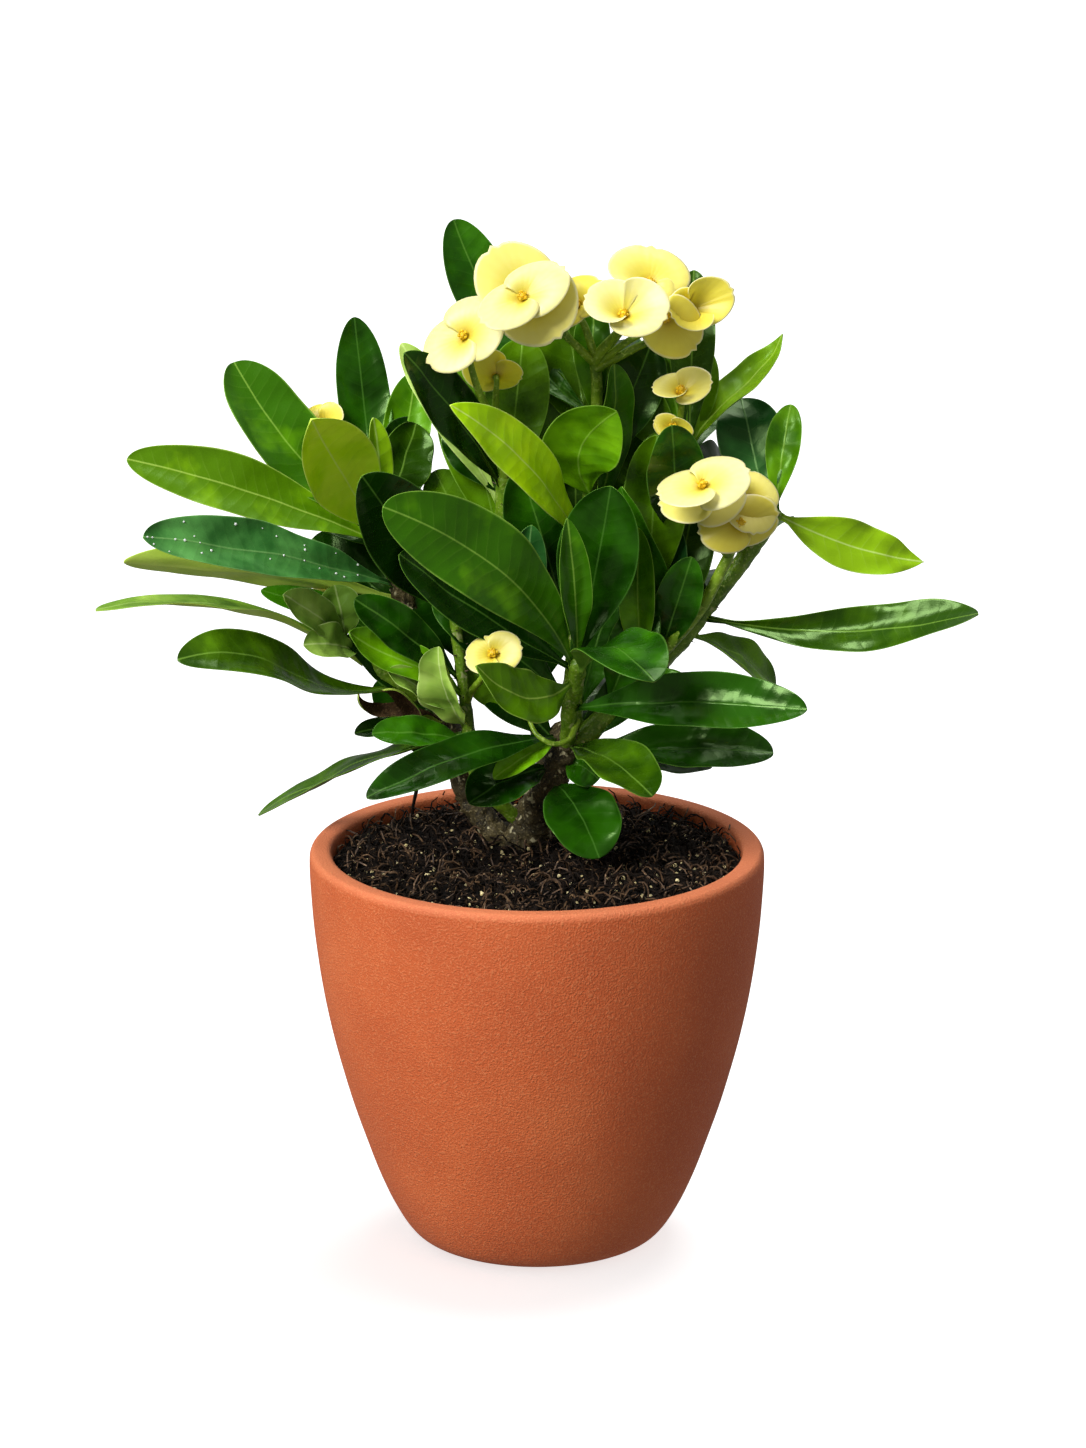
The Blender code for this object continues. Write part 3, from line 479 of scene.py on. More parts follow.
# A leaf's name without "leaf_": stem, share of the way up it, tip (mm), width (mm), upper face
#       (heading and tilt in degrees), arch, bow and wave of the midrib (mm), twist (degrees),
#       cup (share of the half width), widest part, finish, ripple of the edge (mm)
LEAVES = {
    "left_a": ("left_branch", 0.97, (-112, 26, 331), 29, (300, 25), 4, -7, 0, 0, 0.15, 0.62, "mid", 0.6),
    "left_b": ("left_branch", 0.93, (-149, -16, 304), 24, (280, 38), 6, 0, 0, 0, 0.15, 0.60, "light", 0.6),
    "left_c": ("left_branch", 0.80, (-141, -51, 283.6), 22, (280, 40), 5, 0, 0, 0, 0.20, 0.62, "blue", 0.8),
    "left_d": ("left_branch", 0.76, (-154, 22, 256), 21, (90, 45), 3, 0, 0, 0, 0.10, 0.60, "olive", 0.5),
    "left_e": ("left_shoot", 0.72, (-160, -34, 252), 17, (0, 88), 11, 0, 0, 0, 0.10, 0.60, "olive", 0.6),
    "left_f": ("left_shoot", 0.40, (-130, -44, 236), 23, (270, 55), 1, 0, -6, 30, 0.15, 0.60, "green", 0.8),
    "left_g": ("left_branch", 0.99, (-68, 46, 344), 20, (280, 10), -4, 0, 0, 0, 0.15, 0.60, "deep", 0.5),
    "left_h": ("left_branch", 0.96, (-81, -34, 323), 29, (262, 34), -4, 0, 0, 0, 0.20, 0.57, "bright", 0.6),
    "left_j": ("left_branch", 1.00, (-45, 30, 307), 20, (290, 15), 2, 0, 0, 0, 0.20, 0.60, "green", 0.6),
    "top_n": ("left_centre_stem", 0.98, (-48, -14, 343), 22, (300, 25), 3, 0, 0, 0, 0.15, 0.58, "dark",
              0.5),
    "top_o": ("centre_stem", 0.55, (-31, -38, 329), 22, (300, 30), 6, 3, 0, 0, 0.10, 0.54, "bright", 0.8),
    "top_p": ("centre_stem", 0.70, (29, -12, 321), 29, (268, 12), 2, -9, 0, 0, 0.15, 0.60, "mid", 0.5),
    "top_r": ("centre_stem", 0.62, (28, 4, 335), 16, (310, 5), 2, 3, 0, 0, 0.15, 0.62, "mid", 0.6),
    "top_s": ("right_inner_stem", 0.92, (29, 30, 330), 20, (250, 10), 3, 0, 0, 0, 0.15, 0.60, "green", 0.6),
    "right_s": ("right_inner_stem", 0.58, (49, -13, 316), 22, (280, 20), 5, 0, 0, 0, 0.15, 0.62, "dark",
                0.6),
    "right_t": ("right_inner_stem", 1.00, (91, 34, 340), 15, (225, 30), 0, 0, 3, 0, 0.25, 0.50, "light",
                0.6),
    "top_y": ("centre_stem", 1.00, (-31, 50, 380), 24, (290, 15), -8, -5, 0, 0, 0.15, 0.64, "dark", 0.6),
    "front_a": ("front_shoot", 0.98, (-55, -52, 295), 31, (250, 35), 8, 8, 0, 0, 0.12, 0.62, "mid", 0.6),
    "front_b": ("front_shoot", 0.90, (-50, -26, 271), 24, (240, 50), -3, 0, 0, 0, 0.15, 0.60, "dark", 0.6),
    "front_c": ("left_inner_shoot", 0.98, (-63, -34, 302), 31,
                (275, 25), 4, 0, 0, 0, 0.15, 0.60, "dark", 0.6),
    "front_e": ("front_shoot", 1.00, (27, -16, 294), 30, (262, 12), -3, 0, 0, 0, 0.15, 0.60, "deep", 0.6),
    "front_g": ("right_branch", 0.60, (31, -4, 291), 14, (250, 10), 3, 0, 0, 60, 0.15, 0.60, "dark", 0.6),
    "front_i": ("front_shoot", 0.90, (42, -66, 234), 31, (282, 62), 11, 0, 0, 0, 0.12, 0.60, "dark", 0.6),
    "front_j": ("front_shoot", 0.75, (-22, -48, 235), 21, (262, 30), 0, -9, 0, 0, 0.10, 0.55, "light", 0.6),
    "right_l": ("front_shoot", 0.35, (98, -46, 218), 22, (275, 33), 7, 0, 0, 0, 0.20, 0.60, "deep", 0.6),
    "right_m": ("trunk", 0.88, (88, 0, 188), 22, (280, 55), 3, 0, 0, 0, 0.20, 0.66, "deep", 0.6),
    "right_n": ("trunk", 0.93, (42, -42, 184), 24, (285, 55), 5, 0, 0, 0, 0.15, 0.62, "green", 0.6),
    "right_o": ("right_branch", 0.62, (90, 30, 204), 18, (280, 60), 4, 0, 0, 0, 0.15, 0.60, "green", 0.6),
    "low_p": ("trunk", 0.74, (23, -28, 156), 28, (280, 40), 6, 0, 0, 0, 0.10, 0.60, "deep", 0.6),
    "right_w": ("right_branch", 0.70, (161, -24, 248), 19,
                (270, 25), -4, 5, 0, 100, 0.20, 0.74, "green", 0.8),
    "right_v": ("right_branch", 1.00, (144, 22, 256), 19, (262, 22), 3, 3, 0, 20, 0.20, 0.46, "young", 1.0),
    "low_q": ("trunk", 0.97, (-62, -44, 184), 18, (260, 48), 6, 0, 0, 0, 0.15, 0.60, "deep", 0.6),
    "low_r": ("trunk", 0.80, (-25, -18, 174), 21, (260, 45), 4, 0, 0, 0, 0.15, 0.60, "deep", 0.6),
    "low_s": ("left_inner_shoot", 0.55, (-105, 20, 158), 15, (200, 75), 4, 0, 0, 0, 0.10, 0.60, "green",
              0.5),
    "shoot_a": ("left_shoot", 1.00, (-93, -11, 252), 14, (300, 20), 3, 0, 0, 0, 0.20, 0.60, "pale", 0.8),
    "shoot_b": ("left_inner_shoot", 0.80, (-67, -10, 250), 17,
                (270, 35), 3, 0, 0, 0, 0.15, 0.60, "dark", 0.6),
}
# Leaves too many for the part's list of solids: small ones, and those that fill the plant's back.
MORE_LEAVES = {
    "small_a": ("left_branch", 1.00, (-60, 4, 315), 10, (300, 10), 2, 0, 0, 0, 0.2, 0.6, "young", 0.4),
    "small_b": ("left_branch", 0.96, (-47, 36, 308), 21, (280, 20), 3, 0, 0, 0, 0.2, 0.6, "dark", 0.6),
    "small_c": ("left_branch", 0.92, (-45, 46, 323), 18, (270, 15), 3, 0, 0, 0, 0.2, 0.62, "mid", 0.6),
    "small_d": ("left_centre_stem", 0.93, (-32, 26, 309), 17, (260, 15), 3, 0, 0, 0, 0.2, 0.6, "dark", 0.5),
    "small_e": ("left_centre_stem", 0.90, (-50, 22, 339), 14, (280, 20), 3, 0, 0, 0, 0.2, 0.6, "pale", 0.5),
    "small_f": ("centre_stem", 0.86, (10, 34, 350), 31, (270, 5), -3, 0, 0, 0, 0.15, 0.6, "green", 0.8),
    "small_g": ("centre_stem", 0.98, (21, 26, 354), 14, (260, 5), 3, 0, 0, 0, 0.2, 0.6, "mid", 0.5),
    "small_h": ("right_branch", 0.97, (76, 36, 315), 25, (270, 15), 5, 0, 0, 0, 0.15, 0.6, "blue", 0.6),
    "small_i": ("right_branch", 1.00, (94, 26, 315), 13, (260, 20), 3, 0, 0, 0, 0.2, 0.6, "mid", 0.5),
    "small_j": ("right_inner_stem", 0.95, (57, 38, 337), 23, (265, 10), 3, 0, 0, 0, 0.15, 0.6, "green",
                0.6),
    "small_k": ("right_inner_stem", 1.00, (45, 28, 339), 10, (270, 15), 2, 0, 0, 0, 0.2, 0.6, "mid", 0.4),
    "small_l": ("right_inner_stem", 1.00, (58, 34, 364), 17, (270, 10), 3, 0, 0, 0, 0.15, 0.6, "green",
                0.5),
    "small_m": ("front_shoot", 1.00, (11, -24, 284), 12, (285, 10), 3, 0, 0, 0, 0.25, 0.55, "mid", 0.4),
    "small_n": ("left_centre_stem", 0.50, (-2, 2, 275), 15, (275, 20), 3, 0, 0, 0, 0.15, 0.6, "blue", 0.4),
    "small_o": ("right_branch", 0.45, (50, 16, 273), 17, (270, 10), 3, 0, 0, 0, 0.2, 0.6, "blue", 0.6),
    "small_p": ("left_inner_shoot", 0.60, (-36, -14, 233), 17,
                (240, 25), 5, 0, 0, 20, 0.35, 0.6, "pale", 1.0),
    "small_q": ("left_branch", 0.60, (-103, 22, 245), 13, (270, 50), 3, 0, 0, 0, 0.15, 0.6, "dark", 0.5),
    "small_r": ("left_branch", 0.90, (-92, 32, 283), 20, (280, 30), 3, 0, 0, 0, 0.15, 0.6, "dark", 0.5),
    "small_s": ("left_inner_shoot", 0.50, (-61, -8, 198), 13, (270, 45), 3, 0, 0, 0, 0.2, 0.6, "dark", 0.5),
    "small_t": ("left_branch", 0.35, (-68, 6, 194), 10, (260, 50), 3, 0, 0, 0, 0.2, 0.6, "dark", 0.5),
    "small_u": ("left_shoot", 1.00, (-75, 10, 250), 15, (280, 10), 3, 0, 0, 0, 0.3, 0.6, "pale", 0.8),
    "small_v": ("left_shoot", 0.85, (-86, -8, 232), 14, (280, 35), 4, 0, 0, 0, 0.35, 0.6, "pale", 1.0),
    "small_w": ("left_inner_shoot", 0.75, (-69, -12, 238), 15, (270, 40), 2, 0, 3, 0, 0.2, 0.6, "mid", 1.2),
    "small_x": ("left_inner_shoot", 0.65, (-55, -10, 223), 11, (270, 40), 2, 0, 0, 0, 0.25, 0.6, "pale",
                0.8),
    "small_y": ("right_branch", 0.35, (56, -4, 217), 9, (270, 40), 2, 0, 0, 0, 0.2, 0.6, "mid", 0.5),
    "small_z": ("trunk", 0.85, (66, 22, 177), 15, (270, 50), 3, 0, 0, 0, 0.2, 0.6, "dark", 0.5),
    "inner_a": ("trunk", 0.85, (23, 0, 178), 17, (270, 40), 3, 0, 0, 0, 0.2, 0.6, "dark", 0.5),
    "inner_b": ("trunk", 0.95, (-16, -16, 183), 10, (270, 40), 3, 0, 0, 0, 0.2, 0.6, "mid", 0.5),
    "fill_a": ("centre_stem", 0.30, (-6, 10, 295), 27, (280, 10), 3, 0, 0, 0, 0.15, 0.62, "dark", 0.8),
    "fill_b": ("right_inner_stem", 0.25, (44, 6, 308), 24, (275, 12), 3, 0, 0, 0, 0.15, 0.62, "green", 0.8),
    "fill_c": ("right_branch", 0.50, (57, -2, 264), 17, (270, 15), 3, 0, 0, 0, 0.15, 0.60, "dark", 0.6),
    "fill_d": ("right_branch", 0.40, (37, -6, 276), 14, (260, 15), 3, 0, 0, 0, 0.20, 0.60, "mid", 0.6),
    "fill_e": ("centre_stem", 0.10, (-38, 12, 246), 22, (270, 30), 4, 0, 0, 0, 0.15, 0.62, "dark", 0.8),
    "fill_f": ("left_branch", 0.40, (-70, 8, 232), 15, (275, 30), 3, 0, 0, 0, 0.15, 0.62, "dark", 0.8),
    "fill_g": ("left_branch", 0.45, (-51, 34, 240), 20, (265, 20), 3, 0, 0, 0, 0.15, 0.62, "dark", 0.8),
    "fill_h": ("left_centre_stem", 0.55, (-38, 26, 290), 24, (275, 20), 3, 0, 0, 0, 0.15, 0.62, "green",
               0.8),
    "fill_i": ("centre_stem", 0.50, (42, 30, 304), 26, (280, 15), 3, 0, 0, 0, 0.15, 0.62, "green", 0.8),
    "fill_j": ("left_centre_stem", 0.25, (14, 34, 268), 24, (275, 20), 3, 0, 0, 0, 0.15, 0.62, "dark", 0.8),
    "fill_k": ("left_centre_stem", 0.75, (-30, 34, 328), 26, (275, 12), 3, 0, 0, 0, 0.15, 0.64, "green",
               0.8),
    "fill_l": ("centre_stem", 0.78, (42, 24, 338), 22, (275, 12), 3, 0, 0, 0, 0.15, 0.64, "dark", 0.8),
    "fill_m": ("right_branch", 0.85, (84, 30, 306), 20, (270, 12), 3, 0, 0, 0, 0.15, 0.64, "blue", 0.8),
    "fill_n": ("right_branch", 0.25, (60, 26, 250), 24, (275, 20), 3, 0, 0, 0, 0.15, 0.64, "dark", 0.8),
    "fill_o": ("left_branch", 0.70, (-84, 34, 262), 22, (275, 35), 3, 0, 0, 0, 0.15, 0.64, "dark", 0.8),
    "fill_p": ("left_branch", 0.20, (-60, 30, 208), 18, (265, 35), 3, 0, 0, 0, 0.15, 0.64, "dark", 0.8),
    "fill_q": ("trunk", 0.90, (48, 14, 222), 17, (275, 30), 3, 0, 0, 0, 0.15, 0.64, "dark", 0.8),
    "fill_r": ("centre_stem", 0.35, (14, 30, 304), 24, (275, 12), 3, 0, 0, 0, 0.15, 0.64, "green", 0.8),
    "fill_s": ("right_branch", 0.30, (46, 30, 286), 26, (275, 12), 3, 0, 0, 0, 0.15, 0.64, "dark", 0.8),
    "fill_t": ("right_branch", 0.50, (60, 26, 284), 22, (270, 12), 3, 0, 0, 0, 0.15, 0.60, "green", 0.8),
    "fill_u": ("trunk", 0.92, (-24, 18, 220), 20, (270, 25), 3, 0, 0, 0, 0.15, 0.60, "dark", 0.8),
    "fill_v": ("left_centre_stem", 0.30, (-52, 22, 256), 22, (270, 25), 3, 0, 0, 0, 0.15, 0.60, "dark",
               0.8),
    "fill_w": ("left_centre_stem", 0.20, (-30, 8, 222), 16, (265, 25), 3, 0, 0, 0, 0.15, 0.60, "green",
               0.8),
    "fill_x": ("right_branch", 0.20, (42, 4, 246), 18, (268, 15), 3, 0, 0, 0, 0.15, 0.60, "dark", 0.8),
    "fill_y": ("centre_stem", 0.05, (30, 16, 252), 20, (262, 18), 3, 0, 0, 0, 0.15, 0.60, "dark", 0.8),
    "fill_z": ("left_centre_stem", 0.92, (-5, 26, 340), 24, (270, 12), 3, 0, 0, 0, 0.15, 0.62, "green",
               0.8),
    "stray_a": ("left_centre_stem", 0.80, (6, 28, 328), 23, (270, 12), 3, 0, 0, 0, 0.15, 0.62, "green",
                0.8),
    "stray_b": ("left_centre_stem", 0.15, (-20, 24, 240), 20, (270, 15), 3, 0, 0, 0, 0.15, 0.62, "dark",
                0.8),
    "dry_a": ("left_branch", 0.36, (-66, -4, 212), 6, (250, 40), -4, 0, 4, 80, 0.7, 0.5, "dead", 1.2),
    "dry_b": ("left_branch", 0.28, (-57, -6, 214), 7, (230, 30), -3, 0, 3, -60, 0.7, 0.5, "dead", 1.0),
    "rear_a": ("left_branch", 0.85, (-70, 72, 300), 24, (280, 55), 6, 0, 0, 0, 0.2, 0.6, "dark", 0.8),
    "rear_b": ("left_branch", 0.93, (-95, 60, 290), 22, (200, 60), 6, 0, 0, 0, 0.2, 0.6, "dark", 0.8),
    "rear_c": ("left_centre_stem", 0.90, (-35, 76, 316), 25, (270, 55), 6, 0, 0, 0, 0.2, 0.6, "dark", 0.8),
    "rear_d": ("left_centre_stem", 0.70, (-5, 74, 288), 24, (270, 60), 8, 0, 0, 0, 0.2, 0.6, "mid", 0.8),
    "rear_e": ("centre_stem", 0.90, (30, 79, 328), 25, (270, 55), 6, 0, 0, 0, 0.2, 0.6, "dark", 0.8),
    "rear_f": ("centre_stem", 0.75, (3, 78, 308), 23, (270, 60), 6, 0, 0, 0, 0.2, 0.6, "dark", 0.8),
    "rear_g": ("centre_stem", 0.60, (40, 77, 280), 25, (270, 60), 8, 0, 0, 0, 0.2, 0.6, "mid", 0.8),
    "rear_h": ("right_inner_stem", 0.90, (62, 72, 311), 22, (290, 55), 6, 0, 0, 0, 0.2, 0.6, "dark", 0.8),
    "rear_i": ("right_inner_stem", 0.70, (75, 60, 284), 22, (320, 60), 6, 0, 0, 0, 0.2, 0.6, "dark", 0.8),
    "rear_j": ("right_branch", 0.90, (87, 64, 260), 20, (300, 65), 6, 0, 0, 0, 0.2, 0.6, "mid", 0.8),
    "rear_k": ("right_branch", 0.60, (60, 77, 237), 23, (290, 65), 8, 0, 0, 0, 0.2, 0.6, "dark", 0.8),
    "rear_l": ("left_branch", 0.60, (-60, 78, 241), 23, (250, 65), 8, 0, 0, 0, 0.2, 0.6, "dark", 0.8),
    "rear_m": ("left_centre_stem", 0.40, (-10, 80, 247), 24, (270, 65), 8, 0, 0, 0, 0.2, 0.6, "dark", 0.8),
    "rear_n": ("trunk", 0.92, (30, 70, 206), 20, (290, 65), 6, 0, 0, 0, 0.2, 0.6, "dark", 0.8),
}
# name: centre (mm), facing (heading, tilt), spin of the bract pair (degrees), radius (mm), size of the
#       second bract (share), breadth across the pair (share), rise of the rim (share of the radius), finish
FLOWERS = {
    "flower_top_left": ((-5, -22, 365), (262, 36), 40, 19.0, 0.95, 0.66, 0.10, "bract"),
    "flower_top_low": ((-26, -9, 348), (240, 28), 48, 18.0, 0.90, 0.86, 0.12, "bract"),
    "flower_back": ((-15, 6, 330), (95, 25), 20, 12.5, 0.9, 0.90, 0.30, "bract_deep"),
    "flower_top_centre": ((31, -22, 358), (275, 52), -24, 18.0, 0.95, 0.74, 0.42, "bract"),
    "flower_top_right": ((55, 1, 356), (300, 22), 15, 15.5, 0.95, 0.72, 0.62, "bract_deep"),
    "flower_top_back": ((41, 8, 364), (272, 38), 85, 17.0, 0.7, 1.0, 0.12, "bract_full"),
    "flower_right": ((52.5, 0, 325), (270, 58), 0, 12.0, 1.0, 0.80, 0.40, "bract_full"),
    "flower_right_cup": ((60, -26, 296), (262, 58), 20, 17.6, 1.0, 0.84, 0.12, "bract"),
    "flower_right_low": ((78, -4, 285), (290, 38), 80, 15.0, 0.95, 0.86, 0.14, "bract_full"),
    "flower_low": ((-16, -28.5, 234), (265, 35), 10, 11.0, 1.0, 0.84, 0.15, "bract_full"),
}
MORE_FLOWERS = {
    "flower_more_a": ((-3, -12, 363), (262, 30), 130, 22.0, 1.0, 0.80, 0.20, "bract_full"),
    "flower_more_b": ((15, 2, 357), (230, 40), 60, 14.0, 0.9, 0.90, 0.25, "bract_deep"),
    "flower_more_d": ((46, -10, 355), (292, 14), -42, 19.0, 0.30, 0.62, -0.12, "bract_deep"),
    "flower_more_e": ((50, 5, 311), (262, 10), -20, 8.5, 1.0, 0.62, 0.30, "bract_deep"),
    "flower_more_f": ((74, -11, 279), (285, 14), 10, 15.0, 1.0, 0.70, -0.20, "bract_deep"),
    "flower_more_g": ((-80, 30, 306), (250, 40), 0, 10.0, 1.0, 1.0, 0.30, "bract_deep"),
    "flower_more_h": ((-76, 26, 243), (260, 40), 0, 9.0, 1.0, 1.0, 0.30, "bract"),
    "flower_more_i": ((57, 20, 255), (260, 30), 60, 6.0, 1.0, 1.0, 0.40, "bract_deep"),
    "flower_more_j": ((60, -8, 288), (268, 50), 10, 16.5, 1.0, 0.90, 0.05, "bract_full"),
}


def facing(heading, tilt):
    """Unit vector for a compass heading (0 right, 90 back, 270 front) and a tilt above level."""
    h, t = math.radians(heading), math.radians(tilt)
    return np.array([math.cos(h) * math.cos(t), math.sin(h) * math.cos(t), math.sin(t)])


def half_width(t, widest):
    """Half width of a spoon-shaped leaf as a share of its widest, t running from foot to tip."""
    if t < widest:
        return math.sin(math.pi * 0.5 * t / widest) ** 1.25
    blunt = 0.5 + max(0.62 - widest, 0.0) * 3.0
    return max(1.0 - ((t - widest) / (1.0 - widest)) ** 2.2, 0.0) ** blunt


def unit(vector):
    """The vector at a length of one."""
    return vector / np.linalg.norm(vector)


def along_stem(name, share):
    """Centre, direction and radius at a share of the way up a stem."""
    path = smooth_path(STEMS[name], 4)
    at = min(share, 1.0) * (len(path) - 1)
    i = min(int(at), len(path) - 2)
    row = path[i] + (path[i + 1] - path[i]) * (at - i)
    return row[:3], unit(path[i + 1][:3] - path[i][:3]), row[3]


# ---------------------------------------------------------------- sizes that a user would change
class PlantSizes(bpy.types.PropertyGroup):
    leaf_thickness: FloatProperty(
        name="Leaf Thickness", description="Thickness of a leaf beside its rib", default=0.0007, unit="LENGTH"
    )
    leaf_steps: IntProperty(name="Leaf Steps", description="Mesh rows from a leaf's foot to its tip",
                            default=44)
    thorn_length: FloatProperty(
        name="Thorn Length", description="Length of the longest thorns", default=0.0055, unit="LENGTH"
    )
    thorn_spacing: FloatProperty(
        name="Thorn Spacing", description="Distance along a stem between thorns",
        default=0.0032, unit="LENGTH",
    )
    seed: IntProperty(name="Seed", description="Changes every random choice", default=7)


class PotSizes(bpy.types.PropertyGroup):
    sides: IntProperty(name="Sides", description="Faces around the pot", default=144)
    fibre_count: IntProperty(name="Fibres", description="Loose fibres on the soil", default=1000)
    chip_count: IntProperty(name="Chips", description="Bark chips and crumbs on the soil", default=1500)
    perlite_count: IntProperty(name="Perlite", description="Pale grains on the soil", default=330)


# ---------------------------------------------------------------- leaves
MATURE = ("deep", "dark", "green", "mid", "blue", "light")
# In mm: a petiole's half width at its foot, and the least that any part of a leaf has.
PETIOLE, LEAST = 1.3, 0.25
PETIOLE_SHARE = 0.16
# How steeply a cupped blade rises to its edge, and how much it swells at random in mm.
CUP_RISE, SWELL = 1.7, 1.7
# In mm: how deep the rib is sunk above and how far it stands out below.
RIB_SUNK, RIB_RAISED = 0.3, 1.1
DROPS = 26


def leaf(name, stem, share, tip, width, face, arch, bow, wave, twist, cup, widest, look, ripple, nodes=()):
    """One leaf: a closed thin blade with a sunken rib above, a raised one below and a wavy edge."""
    sizes = bpy.context.scene.plant_sizes
    centre, direction, radius = along_stem(stem, share)
    end = np.array(tip, dtype=float)
    out = end - centre
    if share < 0.99:
        out = out - direction * out.dot(direction)
    start = centre + unit(out) * radius * 0.6
    chord = end - start
    upper = facing(*face)
    upper = unit(upper - unit(chord) * upper.dot(unit(chord)))
    sideways = np.cross(unit(chord), upper)
    number = sum(ord(letter) * (i + 3) for i, letter in enumerate(name)) + sizes.seed
    rng = np.random.default_rng(number)
    phase, beats = rng.uniform(0, 6.28), rng.uniform(2.0, 3.2)
    steps, half = sizes.leaf_steps, 7
    thick = sizes.leaf_thickness / MM
    spread = np.sin(np.linspace(-1, 1, 2 * half + 1) * math.pi / 2)
    points, blade, shares = [], [], []
    travelled, before = 0.0, start
    for step in range(steps + 1):
        t = step / steps
        t = 1 - (1 - t) ** 1.6
        hump, lean = 4 * t * (1 - t), 4 * (1 - 2 * t)
        rise = arch * hump + wave * 2.5 * hump * (1 - 2 * t)
        slope = arch * lean + wave * 10 * (1 - 6 * t + 6 * t * t)
        middle = start + chord * t + upper * rise + sideways * bow * hump
        forward = unit(chord + upper * slope + sideways * bow * lean)
        side = unit(np.cross(forward, upper))
        up = np.cross(side, forward)
        turn = math.radians(twist) * (t - 0.5)
        side, up = side * math.cos(turn) + up * math.sin(turn), up * math.cos(turn) - side * math.sin(turn)
        travelled += np.linalg.norm(middle - before)
        before = middle
        reach = width * 0.5 * half_width(t, widest)
        stalk = PETIOLE * (1 - min(t / PETIOLE_SHARE, 1.0)) + LEAST
        reach = max(reach, stalk)
        rib = (1 - t) ** 0.8
        for top in (True, False):
            for s in (spread if top else spread[::-1]):
                swing = beats * 2 * math.pi * t + phase + (1.3 if s > 0 else 0.0)
                wavy = ripple * abs(s) ** 2.2 * math.sin(swing)
                wavy *= min(4 * t, 1.0) * min(reach / 4.0, 1.0)
                spot = Vector((t * 5.0, s * 1.6, phase * 3.0))
                wavy += noise.noise(spot) * SWELL * min(reach / 6.0, 1.0) * min(5 * (1 - t), 1.0)
                lift = CUP_RISE * cup * reach * s * s + wavy
                across = abs(s) * reach
                skin = thick * 0.5 * math.sqrt(max(1 - abs(s) ** 3, 0.0)) + 0.04
                if top:
                    lift += skin + rib * (0.45 * (1 - math.exp(-(across / 1.5) ** 2)) - RIB_SUNK)
                else:
                    lift -= skin + rib * RIB_RAISED * math.exp(-(across / 0.9) ** 2)
                points.append(middle + side * reach * s + up * lift)
                blade.append((travelled * 0.1, s * reach * 0.1))
                shares.append((t, s))
    ring = 2 * (2 * half + 1)
    faces, index = [], []
    for step in range(steps):
        low = step * ring
        for corner in range(ring):
            after = (corner + 1) % ring
            faces.append((low + corner, low + after, low + ring + after, low + ring + corner))
            index.append(0 if corner < 2 * half else 1)
    for low, flip in ((0, False), (steps * ring, True)):
        for corner in range(2 * half):
            quad = (low + corner, low + ring - 1 - corner, low + ring - 2 - corner, low + corner + 1)
            faces.append(quad[::-1] if flip else quad)
            index.append(0)
    looks = ("leaf_" + look, "back_mature" if look in MATURE else "back_young")
    # Sides run clockwise seen along the blade, so the walk is turned to face outwards.
    faces = [f[::-1] for f in faces]
    publish(
        name, np.array(points) * MM, faces, looks, index, {"blade": blade, "share": shares},
        float(rng.uniform(0, 1)), nodes,
    )
    if look == "blue" and nodes:
        # Dew stands on the blue-green leaf, mostly near its rib.
        picks = rng.integers((5, 3), (steps - 2, 12), (DROPS, 2))
        wet = [points[step * ring + corner] for step, corner in picks]
        dotted(name + "_drops", wet, rng.uniform(0.4, 1.0, len(wet)), 0.0006, 5, "water")


class EUPHORBIA_OT_leaves(bpy.types.Operator):
    """Builds every leaf of the plant"""

    bl_idname = "euphorbia.leaves"
    bl_label = "Leaves"

    def execute(self, context):
        for name, values in LEAVES.items():
            leaf("leaf_" + name + "_blade", *values, nodes=("leaf_" + name,))
        for name, values in MORE_LEAVES.items():
            leaf("leaf_" + name, *values)
        return {"FINISHED"}


# ---------------------------------------------------------------- stems and thorns
GOLDEN_ANGLE = 2.39996
# Leaf scars stand a row every few mm, each turned on by this share of a turn.
SCAR_ROW, SCAR_TURN = 3.4, 0.382


def bark_relief(name):
    """Bumps of a stem's skin in mm: leaf scars in a spiral, ridges and, on the trunk, knots."""
    seed = float(len(name) * 7)
    woody = name in BARKY

    def relief(share, length, angle):
        spot = Vector((math.cos(angle) * 2.2, math.sin(angle) * 2.2, length * 0.30 + seed))
        bump = noise.noise(spot) * (1.2 if woody else 0.35)
        bump += noise.noise(spot * 3.1) * (0.8 if woody else 0.15)
        row = length / SCAR_ROW
        scar = abs((angle / (2 * math.pi) + row * SCAR_TURN) % 1.0 - 0.5)
        step = abs(row % 1.0 - 0.5)
        bump += (0.55 if woody else 0.3) * math.exp(-((scar / 0.14) ** 2) - ((step / 0.3) ** 2))
        if name == "trunk":
            knot = Vector((math.cos(angle) * 1.1, math.sin(angle) * 1.1, length * 0.09))
            bump += 2.4 * max(noise.noise(knot), 0)
        return bump

    return relief


def node_group(name, *sockets):
    """A node tree and its inputs: a Geometry, the (label, kind) sockets and a Material."""
    tree = bpy.data.node_groups.new(name, "GeometryNodeTree")
    inputs = (("Geometry", "Geometry"), *sockets, ("Material", "Material"))
    for label, kind in inputs:
        tree.interface.new_socket(label, in_out="INPUT", socket_type="NodeSocket" + kind)
    tree.interface.new_socket("Geometry", in_out="OUTPUT", socket_type="NodeSocketGeometry")
    start = add(tree, "NodeGroupInput")
    return tree, [start.outputs[i] for i in range(len(inputs))]


def ended(tree, instances, skin):
    """Ends a node tree with its instances as a real mesh in one material."""
    real = add(tree, "GeometryNodeRealizeInstances", {0: instances.outputs[0]})
    painted = add(tree, "GeometryNodeSetMaterial", {"Geometry": real.outputs[0], "Material": skin})
    add(tree, "NodeGroupOutput", {0: painted.outputs[0]})
    return tree


